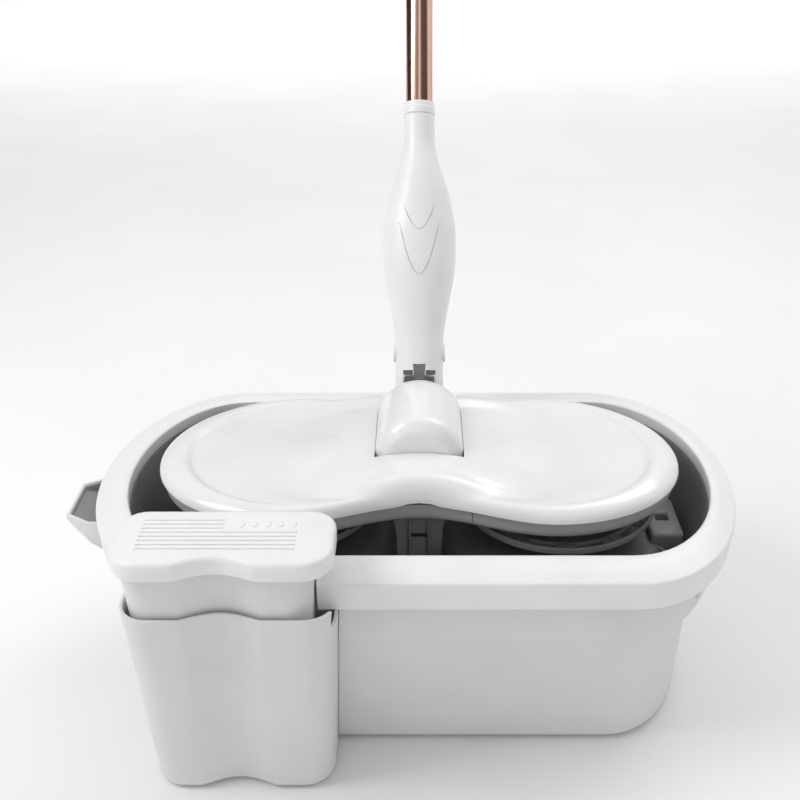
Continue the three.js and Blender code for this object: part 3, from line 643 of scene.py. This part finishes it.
def build_spring():
    """A compression spring with closed end coils, built at one fixed length."""
    base, top = low("return_spring"), high("return_spring")
    centre = (base + top) / 2
    wire, turns, closed_rise = 1.1, 9, 2.3
    coil = top.x - centre.x - wire
    z0, z1 = base.z + wire, top.z - wire
    rings = []
    for i in range(turns * 32 + 1):
        k = i / 32
        share = min(1.0, max(0.0, (k - 1) / (turns - 2)))
        z = z0 + closed_rise * (min(k, 1) + max(0, k - turns + 1)) + (z1 - z0 - 2 * closed_rise) * share
        angle = 2 * math.pi * k
        rings.append([
            (centre.x + (coil + wire * math.cos(a)) * math.cos(angle),
             centre.y + (coil + wire * math.cos(a)) * math.sin(angle), z + wire * math.sin(a))
            for a in (2 * math.pi * j / 10 for j in range(10))
        ])
    spring = piece(skin("pedal_spring", rings), "bucket", STEEL, ["return_spring"])
    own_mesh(spring)


def build_sleeve():
    def level(radius, z, inset):
        above = z - HOUSING_TOP
        front = HOUSING_FRONT + 5 - above * FRONT_DRAFT
        return (radius, z, inset, front, HOUSING_BACK - 8, SLEEVE_HALF + above * SIDE_DRAFT, 20, 16)

    top, bottom = high("pedal_sleeve").z, 105
    sleeve = housing_skin("pedal_sleeve_shell", [
        level(0, top, 22), level(1.2, top, 0), level(0.6, bottom, 0), level(0.6, bottom, WALL),
        level(1, top - WALL, WALL), level(0, top - WALL, 22),
    ], SLEEVE_X)
    piece(sleeve, "pedal", SHELL_WHITE, ["pedal_sleeve"])


# ---------- mop head ----------
def peanut(inset, steps=48, waist_steps=24):
    a, b = HEAD_A - LOBE_X, HEAD_B
    points = []
    for side in (1, -1):
        for i in range(steps + 1):
            angle = side * math.pi * (i / steps - 0.5)
            points.append((side * (LOBE_X + (a - inset) * math.cos(angle)), (b - inset) * math.sin(angle)))
        for i in range(1, waist_steps):
            x = LOBE_X * (1 - 2 * i / waist_steps)
            lift = (1 - math.cos(math.pi * x / LOBE_X)) / 2
            points.append((side * x, side * (WAIST - inset + (b - WAIST) * lift)))
    return points


def peanut_skin(name, profile):
    """Profile entries are (corner radius, height, inset)."""
    rings = []
    for z, inset in rounded(profile):
        rings.append([(x, y, z) for x, y in peanut(inset)])
    return skin(name, rings)


def cover_height(x, y, r):
    """Height of the cover's top at a plan point, where r is 0 in the middle and 1 at the edge."""
    dish = 213.8
    ends = min(1.0, max(0.0, (abs(x) / HEAD_A - 0.42) / 0.4))
    ends = ends * ends * (3 - 2 * ends)
    crest = 218.2
    if r > 0.9:
        t = (r - 0.9) / 0.1
        edge = crest + (LIP_Z - crest) * (1 - math.sqrt(max(0.0, 1 - t ** 2.1)))
    else:
        t = min(1.0, max(0.0, (r - 0.62) / 0.28))
        edge = dish + (crest - dish) * t * t * (3 - 2 * t)
    step = 1.0 / (1.0 + math.exp(-(r - 0.885) / 0.0055))
    crease = dish + 0.5 + (crest - dish - 0.5) * step
    edge_end = crease if r <= 0.9 else min(edge, crease)
    return edge * (1 - ends) + edge_end * ends


def saddle(x, y, r):
    """The rise under the swivel. Its back stays high almost to the edge."""
    along = max(0.0, 1 - (x / 108) ** 2) ** 2
    across = max(0.0, 1 - (y / 77) ** 8)
    if y > 0:
        t = min(1.0, max(0.0, (r - 0.915) / 0.085))
        across = max(0.0, 1 - (y / 92) ** 12) * (1 - t * t * (3 - 2 * t)) + across * 0.6 * t * t
    return SADDLE_RISE * along * across


def build_cover():
    outline = peanut(0)
    # shares of the way out to the edge, close together at the crease and at the rounded rim
    radii = [0.02] + [i / 30 for i in range(1, 25)]
    radii += [0.82, 0.84, 0.855, 0.865, 0.872, 0.878, 0.884, 0.89, 0.896, 0.903]
    radii += [0.912, 0.922, 0.933, 0.944, 0.955, 0.965, 0.974, 0.982, 0.989, 0.9945, 0.998, 1.0]
    top = []
    for r in radii:
        ring = []
        for ox, oy in outline:
            x, y = ox * r, oy * r
            ring.append((x, y, cover_height(x, y, r) + saddle(x, y, r)))
        top.append(ring)
    under = []
    inside = [
        (0.988, LIP_Z - 0.6), (0.978, LIP_Z), (0.955, 211), (0.9, 213.4), (0.82, 213), (0.6, 211.6),
        (0.02, 211.6),
    ]
    for r, z in inside:
        under.append([(x * r, y * r, z + saddle(x * r, y * r, r)) for x, y in outline])
    cover = skin("mop_cover", top + under)
    room = BLOCK_R + 0.3
    trough = lathe("trough", [(0, room, BLOCK_FRONT - 0.5), (0, room, BLOCK_BACK + 0.5)], 128)
    slot = lathe("arm_slot", [(0, 24, 40), (0, 24, 72)], 64)
    # behind the block the edge is low, so that the rolled handle clears it
    way = block("handle_way", -34, 34, BLOCK_BACK + 0.4, 90, 221.5, 245)
    boolean(cover, turned_to(trough, STAND), turned_to(slot, STAND), way)
    piece(cover, "mop_head", GLOSS_WHITE, ["head_cover"], angle=40)


def build_head_base():
    band = peanut_skin("mop_band", [
        (0, HEAD_FLOOR, 30), (2.4, HEAD_FLOOR, 5.2), (3, 195.5, 3.2), (0.6, 206.5, 3.2), (0.6, 206.5, 5.6),
        (1, HEAD_FLOOR + 2.5, 6.8), (0, HEAD_FLOOR + 2.5, 30),
    ])
    cuts = []
    for x, sign in ((43, -1), (-43, 1)):
        y = sign * (WAIST - 3.2 + (HEAD_B - WAIST) * (1 - math.cos(math.pi * x / LOBE_X)) / 2)
        cuts.append(block("seam", x - 0.35, x + 0.35, y - 1.4, y + 1.4, HEAD_FLOOR + 1.5, 207))
    pins = [lathe("spindle_way", [(0, 7.5, 180), (0, 7.5, 200)], 48, (x, 0)) for x in (-BASKET_X, BASKET_X)]
    boolean(band, merged("seams", cuts), *pins)
    ribs = []
    for x in (-BASKET_X, BASKET_X):
        ribs.append(lathe("seat_ring", [
            (0.4, 70, HEAD_FLOOR - 0.6), (0.4, 73, HEAD_FLOOR - 0.6), (0, 73, HEAD_FLOOR + 0.5),
            (0, 70, HEAD_FLOOR + 0.5),
        ], 96, (x, 0), closed=True, steps=2))
    cradles = [(BLOCK_FRONT - 4.6, BLOCK_FRONT - 1.2), (BLOCK_BACK + 1.2, BLOCK_BACK + 4.6)]
    ribs += [block("cradle", -12, 12, y0, y1, 193, 225.2, 0.6) for y0, y1 in cradles]
    piece(merged("mop_band", [band, *ribs]), "mop_head", BAND_GREY, ["head_base"])


def build_lugs():
    """Small dark drain lugs under the head's edge."""
    lugs = []
    outline = peanut(9, 24, 12)
    for i in range(0, len(outline), 9):
        x, y = outline[i]
        lug = block("lug", -3.2, 3.2, -1.6, 1.6, HEAD_FLOOR - 2.4, HEAD_FLOOR + 0.4, 0.5)
        facing = math.atan2(y, x - math.copysign(LOBE_X, x)) + math.pi / 2
        place = Matrix.Translation((x * MM, y * MM, 0))
        lugs.append(turned_to(lug, place @ Matrix.Rotation(facing, 4, "Z")))
    piece(merged("mop_lugs", lugs), "mop_head", DARK)


def build_disc(side, x):
    body = "disc_" + side
    disc = lathe("pad_disc_" + side, [
        (0, 5.3, 178.6), (1, 11, 178.6), (2, 11, 185), (0.8, 66, 186), (1.2, 66, 189.5), (1, 60, 190.5),
        (0, 5.3, 190.5),
    ], 96, (x, 0), closed=True, steps=3)
    piece(disc, body, DARK, [body])
    pad = microfibre_pad("microfibre_pad_" + side, x)
    piece(pad, body, MICROFIBRE, ["pad_" + side], angle=80)


def tuft(x, y, z, length, radius, lean, turn):
    """One looped strand, hanging and curling outwards."""
    rings = []
    for i in range(6):
        t = i / 5
        out = lean * t * t
        width = radius * (1.0 if i < 4 else 0.8 if i == 4 else 0.35)
        cx, cy = x + out * math.cos(turn), y + out * math.sin(turn)
        rings.append([
            (cx + width * math.cos(k * math.pi / 3), cy + width * math.sin(k * math.pi / 3), z - length * t)
            for k in range(6)
        ])
    return skin("tuft", rings)


def microfibre_pad(name, x):
    """Rings of strands on a backing disc; the pad is deepest near its rim."""
    rng = random.Random(7 if x > 0 else 8)
    parts = [lathe(name + "_backing", [
        (0, 12.8, 181), (1, 60, 181), (1.4, 61.8, 182.8), (1.2, 54, 184.5), (0, 12.8, 184.5),
    ], 72, (x, 0), closed=True, steps=3)]
    root_z = 181.4
    radius = 16.0
    while radius < 60:
        count = int(2 * math.pi * radius / 5.2)
        for k in range(count):
            angle = 2 * math.pi * (k + rng.uniform(-0.25, 0.25)) / count
            r = radius + rng.uniform(-0.8, 0.8)
            bottom = 168.2 - (min(r, 56) - 12.5) * 2.2 / 43.5 if r < 56 else 172
            length = root_z - bottom - rng.uniform(0, 1.6)
            lean = rng.uniform(-0.6, 1.6) if r < 57 else rng.uniform(-1.5, 0)
            px, py = x + r * math.cos(angle), r * math.sin(angle)
            parts.append(tuft(px, py, root_z, length, rng.uniform(1.9, 2.5), lean, angle))
        radius += 4.8
    return merged(name, parts)


# ---------- swivel ----------
def d_plan(radius, base, steps=48):
    drop = math.asin((base - ROLL_Z) / radius)
    angles = [drop + (math.pi - 2 * drop) * i / steps for i in range(steps + 1)]
    return [(radius * math.cos(a), ROLL_Z + radius * math.sin(a)) for a in angles]


def build_swivel():
    base = ROLL_Z + 1
    profile = [
        (0, BLOCK_FRONT, BLOCK_R - 22), (3.5, BLOCK_FRONT, BLOCK_R - 9.5), (5, BLOCK_FRONT + 9, BLOCK_R),
        (0.15, BLOCK_BACK - 3.6, BLOCK_R), (0.15, BLOCK_BACK - 3.6, BLOCK_R - 1.2),
        (0.15, BLOCK_BACK - 2.2, BLOCK_R - 1.2), (0.15, BLOCK_BACK - 2.2, BLOCK_R),
        (0.6, BLOCK_BACK, BLOCK_R), (0.5, BLOCK_BACK, BLOCK_R - WALL), (3, BLOCK_FRONT + 11, BLOCK_R - WALL),
        (2, BLOCK_FRONT + WALL, BLOCK_R - 12), (0, BLOCK_FRONT + WALL, BLOCK_R - 22),
    ]
    rings = []
    for y, radius in rounded(profile):
        rings.append([(x, y, z) for x, z in d_plan(radius, base)])
    shell = skin("swivel_cap", rings)
    half = BLOCK_R - 9
    boolean(shell, block("open_base", -half, half, BLOCK_FRONT + WALL, BLOCK_BACK + 1, 215, 226))
    piece(shell, "swivel", GLOSS_WHITE, ["swivel_block"], angle=38)
    build_knuckle()


def build_knuckle():
    """Lies along the roll pin, leaves the block's open back and rises in the bulb's notch."""
    front, back = BLOCK_FRONT + 6, BLOCK_BACK - 3
    tube = [(1, 3.4, front), (1, 8, front), (1, 8, back), (1, 3.4, back)]
    barrel = turned_to(lathe("knuckle", tube, 48, closed=True, steps=2), STAND)
    ring = [(0.8, 3.9, -13), (0.8, 10, -13), (0.8, 10, 13), (0.8, 3.9, 13)]
    eye = turned_to(lathe("eye", ring, 48, closed=True, steps=2), PIN_TURN)
    web = block("web", -9, 9, 20, back, 229.5, 246, 0.6)
    arm = block("arm", -14.1, 14.1, 20, PIN_Y + 6, 236, 247.5, 1.4)
    neck = boolean(block("neck", -5.4, 5.4, PIN_Y - 5, PIN_Y + 5, 240, PIN_Z, 0.9),
                   turned_to(lathe("bore", [(0, 9, -20), (0, 9, 20)], 48), PIN_TURN))
    knuckle = merged("knuckle_moulded", [barrel, web, arm, neck, eye])
    piece(knuckle, "swivel", KNUCKLE_GREY, ["knuckle"])
    ledges = [block("ledge", x0, x1, 9.5, 12.5, -19.6, -11) for x0, x1 in ((-14.4, -5.9), (5.9, 14.4))]
    lining = turned_to(merged("notch_lining", ledges), HANDLE)
    piece(lining, "handle", KNUCKLE_GREY)


# ---------- handle, built upright round the tilt pin ----------
# distance along the pole from the tilt pin, and half width
BULB = [
    (-34, 21.8), (9, 21.8), (25, 23.5), (46, 27.3), (68, 31.3), (82, 33), (99, 33.2), (115, 32.7),
    (130, 30.4), (145, 27), (160, 22.3), (178, 16.9), (190, 14.5), (204, 14.0), (216, 13.9),
]
BULB_DEPTH = 0.84


def spline(points, steps):
    """Catmull-Rom through the points."""
    out = []
    for i in range(len(points) - 1):
        p = [np.array(points[max(0, min(len(points) - 1, k))], float) for k in (i - 1, i, i + 1, i + 2)]
        for k in range(steps):
            t = k / steps
            square, cube = 2 * p[0] - 5 * p[1] + 4 * p[2] - p[3], 3 * p[1] - p[0] - 3 * p[2] + p[3]
            out.append(0.5 * (2 * p[1] + (p[2] - p[0]) * t + square * t * t + cube * t ** 3))
    out.append(np.array(points[-1], float))
    return out


def depth_ratio(s):
    t = min(1.0, max(0.0, (s - 120) / 65))
    return BULB_DEPTH + (1 - BULB_DEPTH) * t * t * (3 - 2 * t)


def bulb_rings(stations, sides=96):
    rings = []
    for s, r in stations:
        k = depth_ratio(s)
        angles = [2 * math.pi * i / sides for i in range(sides)]
        rings.append([(r * math.cos(a), k * r * math.sin(a), s) for a in angles])
    return rings


def across(radius, x0, x1, s=0.0, sides=48):
    """A round bar along X at distance s along the pole."""
    bar = lathe("bar", [(0, radius, x0), (0, radius, x1)], sides)
    return turned_to(bar, Matrix.Translation((0, 0, s * MM)) @ Matrix.Rotation(math.pi / 2, 4, "Y"))


def groove(name, half, tall, foot, width):
    """A U-shaped groove cutter across the bulb's front, as a bent ribbon."""
    points = []
    for i in range(25):
        t = -1 + 2 * i / 24
        points.append((half * t, foot + tall * abs(t) ** 1.9))
    rings = []
    for i, (x, s) in enumerate(points):
        before, after = points[max(0, i - 1)], points[min(len(points) - 1, i + 1)]
        dx, ds = after[0] - before[0], after[1] - before[1]
        length = math.hypot(dx, ds)
        taper = 1.0 if 1 < i < 23 else 0.35
        nx, ns = -ds / length * width / 2 * taper, dx / length * width / 2 * taper
        r = bulb_radius(s)
        face = -depth_ratio(s) * math.sqrt(max(1.0, r * r - x * x))
        depth = 1.1
        rings.append([
            (x + nx, face - 3, s + ns), (x - nx, face - 3, s - ns),
            (x - nx * 0.5, face + depth, s - ns * 0.5), (x + nx * 0.5, face + depth, s + ns * 0.5),
        ])
    return skin(name, rings)


def bulb_radius(s):
    for (s0, r0), (s1, r1) in zip(BULB, BULB[1:]):
        if s0 <= s <= s1:
            return r0 + (r1 - r0) * (s - s0) / (s1 - s0)
    return BULB[-1][1]


def build_bulb():
    body = skin("bulb", bulb_rings(spline(BULB, 5)))
    hollow = [(s if s > 0 else -40, r - WALL) for s, r in BULB if s < 180]
    inside = skin("bulb_hollow", bulb_rings(hollow, 64))
    heel = boolean(across(31, -30, 30, 0, 96), block("above", -60, 60, -60, 60, 0, 230), operation="UNION")
    boolean(body, heel, operation="INTERSECT")
    boolean(body, across(8, -23.3, 23.3), operation="UNION")
    boolean(
        body, inside,
        lathe("pole_way", [(0, POLE_R + 0.3, 140), (0, POLE_R + 0.3, 220)], 64),
        block("wide_notch", -14.5, 14.5, -40, 40, -40, -16),
        block("narrow_notch", -5.75, 5.75, -40, 40, -20, -10.5),
        across(3.8, -30, 30), across(12.5, -13.6, 13.6),
        groove("upper_groove", 13.3, 21, 109, 1.3), groove("lower_groove", 17.5, 46, 69, 1.5),
    )
    back = body.copy()
    back.data = body.data.copy()
    bpy.context.scene.collection.objects.link(back)
    boolean(body, block("front_half", -60, 60, -60, -0.12, -60, 230), operation="INTERSECT")
    boolean(back, block("back_half", -60, 60, 0.12, 60, -60, 230), operation="INTERSECT")
    body.name, back.name = "handle_front", "handle_back"
    for half, node in ((body, "bulb_front"), (back, "bulb_back")):
        turned_to(half, HANDLE)
        piece(half, "handle", RING_WHITE, [node], angle=38)


def on_pole(name, profile, body, material, node, sides=64, closed=True):
    part = turned_to(lathe(name, profile, sides, closed=closed, steps=4), HANDLE)
    return piece(part, body, material, [node])


def build_pole():
    collar = turned_to(lathe("pole_collar", [
        (0.4, POLE_R + 0.2, 216.3), (1, 14.4, 216.3), (0.5, 14.4, 222), (0.5, 13.9, 222.6),
        (1, 13.9, 227.5), (0.4, POLE_R + 0.2, 227.5),
    ], 64, closed=True, steps=3), HANDLE)
    piece(collar, "handle", RING_WHITE, ["collar"])
    on_pole("lower_tube", [
        (0.3, 11.2, 150), (0.3, POLE_R, 150), (0.4, POLE_R, 600), (0.3, 11.2, 600),
    ], "handle", ROSE_GOLD, "lower_pole", 96)
    on_pole("upper_tube", [
        (0.2, 9.8, 300), (0.2, 10.8, 300), (0.2, 10.8, 770), (0.2, 9.8, 770),
    ], "upper_pole", ROSE_GOLD, "upper_pole", 96)
    build_lock()
    build_grip()


def build_lock():
    sleeve = lathe("twist_lock", [
        (0.5, POLE_R + 0.3, 566), (1.2, 15, 566), (2, 16.4, 572), (2, 16.4, 592), (4, 14, 612),
        (0.6, 11.2, 612), (0.4, 11.2, 601), (0.4, POLE_R + 0.3, 601),
    ], 96, closed=True, steps=4)
    flutes, reach = 16, 17
    cuts = []
    for i in range(flutes):
        angle = i * math.pi / 8
        centre = (reach * math.cos(angle), reach * math.sin(angle))
        cuts.append(lathe("flute", [(0, 1.4, 574), (0, 1.4, 591)], 16, centre))
    boolean(sleeve, merged("flutes", cuts))
    piece(turned_to(sleeve, HANDLE), "lock", RING_WHITE, ["lock_sleeve"])


def build_grip():
    profile = [(0.4, 11.1, 650), (1.5, 14, 650), (2, 15.4, 656)]
    for i in range(12):
        s = 668 + i * 8
        profile += [(0.8, 15.4, s), (0.8, 14.7, s + 1.2), (0.8, 14.7, s + 2.8), (0.8, 15.4, s + 4)]
    profile += [(4, 15.4, 790), (2, 14, 798), (0.5, 9, 800), (0.3, 9, 773), (0.3, 11.1, 773)]
    grip = turned_to(lathe("hand_grip", profile, 72, closed=True, steps=2), HANDLE)
    piece(grip, "upper_pole", RING_WHITE, ["grip"])
    plug = lathe("end_plug", [
        (0, 0.05, 795), (0.5, 8.7, 795), (0.3, 8.7, 800.4), (1, 13, 800.4), (2.5, 12, 808),
        (0, 0.05, 809.4),
    ], 64, steps=4)
    eye = block("eye_web", -3.5, 3.5, -9, 9, 804, 820)
    boolean(eye, across(9, -3.5, 3.5, 820), operation="UNION")
    boolean(eye, across(5, -9, 9, 820))
    soften(eye, 0.8, 2, 50)
    end = turned_to(merged("end_plug", [plug, eye]), HANDLE)
    piece(end, "upper_pole", RING_WHITE, ["grip_plug"])


# ---------- feet ----------
def build_feet():
    for i in range(1, 6):
        node = f"foot_{i}"
        centre = (low(node) + high(node)) / 2
        foot = lathe("rubber_" + node, [
            (0, 0.05, 0.6), (0.6, 5, 0.6), (0.5, 6, 0), (0.8, 11.6, 0), (0.4, 12, 2.7), (0, 0.05, 2.7),
        ], 48, (centre.x, centre.y), steps=3)
        piece(foot, "bucket", RUBBER, [node])


# ---------- inner working parts keep their CAD shapes ----------
INNER = {
    STEEL: ["drive_shaft", "clutch_ring", "basket_shaft_left", "basket_shaft_right", "spindle_left",
            "spindle_right", "idler_axle", "head_screw_1", "head_screw_2", "head_screw_3", "head_screw_4",
            "roll_pin", "tilt_pin"],
    DARK: ["pedal_rack", "rack_pinion", "crown_gear", "drive_bush_front", "clutch_gear", "basket_bush_left",
           "basket_bush_right", "basket_gear_left", "basket_gear_right", "idler_gear"],
    GLOSS_WHITE: ["hub_nut_left", "hub_nut_right"],
}


def finish_inner_nodes():
    for material, names in INNER.items():
        for name in names:
            mesh = NODES[name].data
            mesh.materials.clear()
            mesh.materials.append(material)
            mesh.shade_smooth()
            mesh.set_sharp_from_angle(angle=math.radians(32))


# ---------- stage, light and camera ----------
def build_stage():
    reach = 30000
    corners = [(-reach, -reach, 0), (reach, -reach, 0), (reach, reach, 0), (-reach, reach, 0)]
    floor = new_object("floor", corners, [(0, 1, 2, 3)])
    graph = Graph("floor_paper")
    graph.ramp(graph.noise(3, 2), [(0.3, (0.9, 0.9, 0.9)), (0.7, (0.93, 0.93, 0.93))])
    graph.shader.inputs["Roughness"].default_value = 0.9
    floor.data.materials.append(graph.material)


def area_light(name, place, target, size, power, spread=180):
    light = bpy.data.lights.new(name, "AREA")
    light.shape = "RECTANGLE"
    light.size, light.size_y = size
    light.energy = power
    light.spread = math.radians(spread)
    obj = bpy.data.objects.new(name, light)
    obj.location = place
    obj.rotation_euler = (Vector(target) - Vector(place)).to_track_quat("-Z", "Y").to_euler()
    bpy.context.scene.collection.objects.link(obj)


# what the studio looks like in gloss, all the way round: (share of the turn, brightness)
STUDIO_BANDS = [
    (0.0, 0.05), (0.27, 0.05), (0.30, 0.8), (0.39, 0.8), (0.415, 0.35), (0.47, 0.4), (0.485, 1.0),
    (0.525, 1.0), (0.555, 0.16), (0.71, 0.1), (0.745, 0.95), (0.93, 0.95), (1.0, 0.05),
]


def build_world():
    """Even soft light, with panels and dark gaps between them that only reflections show."""
    world = bpy.data.worlds.new("studio")
    world.use_nodes = True
    nodes, links = world.node_tree.nodes, world.node_tree.links
    even = nodes["Background"]
    even.inputs["Color"].default_value = (1, 1, 1, 1)
    even.inputs["Strength"].default_value = 0.6
    parts = nodes.new("ShaderNodeSeparateXYZ")
    links.new(nodes.new("ShaderNodeTexCoord").outputs["Generated"], parts.inputs["Vector"])
    flip = nodes.new("ShaderNodeMath")
    flip.operation = "MULTIPLY"
    flip.inputs[1].default_value = -1
    links.new(parts.outputs["Y"], flip.inputs[0])
    turn = nodes.new("ShaderNodeMath")
    turn.operation = "ARCTAN2"
    links.new(parts.outputs["X"], turn.inputs[0])
    links.new(flip.outputs[0], turn.inputs[1])
    share = nodes.new("ShaderNodeMapRange")
    share.inputs["From Min"].default_value = -math.pi
    share.inputs["From Max"].default_value = math.pi
    links.new(turn.outputs[0], share.inputs["Value"])
    ramp = nodes.new("ShaderNodeValToRGB")
    elements = ramp.color_ramp.elements
    while len(elements) < len(STUDIO_BANDS):
        elements.new(0.5)
    for element, (position, value) in zip(elements, STUDIO_BANDS):
        element.position = position
        element.color = (value, value, value, 1)
    links.new(share.outputs["Result"], ramp.inputs["Fac"])
    panels = nodes.new("ShaderNodeBackground")
    panels.inputs["Strength"].default_value = 0.9
    links.new(ramp.outputs["Color"], panels.inputs["Color"])
    mix = nodes.new("ShaderNodeMixShader")
    links.new(nodes.new("ShaderNodeLightPath").outputs["Is Glossy Ray"], mix.inputs["Fac"])
    links.new(even.outputs[0], mix.inputs[1])
    links.new(panels.outputs[0], mix.inputs[2])
    links.new(mix.outputs[0], nodes["World Output"].inputs["Surface"])
    bpy.context.scene.world = world


def build_lights():
    build_world()
    area_light("key", (-1.3, -0.35, 1.5), (0, 0, 0.2), (0.7, 0.9), 12.5)
    area_light("back", (1.0, 0.9, 1.7), (0, 0, 0.2), (1.1, 0.8), 8)
    area_light("top", (0, 0.5, 2.3), (0, 0, 0.2), (1.6, 0.8), 5)
    area_light("far_floor", (0, 4.3, 2.6), (0, 4.3, 0), (6, 3), 50, spread=115)


def build_camera():
    camera = bpy.data.cameras.new("camera")
    camera.lens = 47.43
    camera.sensor_width = 36
    camera.shift_x = -0.0241
    obj = bpy.data.objects.new("camera", camera)
    obj.location = (0, -0.7927, 0.678)
    obj.rotation_euler = (math.radians(62.5), 0, 0)
    bpy.context.scene.collection.objects.link(obj)
    bpy.context.scene.camera = obj
    bpy.context.scene.view_settings.view_transform = "Standard"


build_camera()
build_bucket()
build_ring()
build_clips()
build_housing()
build_liner()
build_basket("left", -BASKET_X)
build_basket("right", BASKET_X)
build_pedal()
build_cover()
build_head_base()
build_lugs()
build_disc("left", -BASKET_X)
build_disc("right", BASKET_X)
build_swivel()
build_bulb()
build_pole()
build_feet()
finish_inner_nodes()
build_stage()
build_lights()
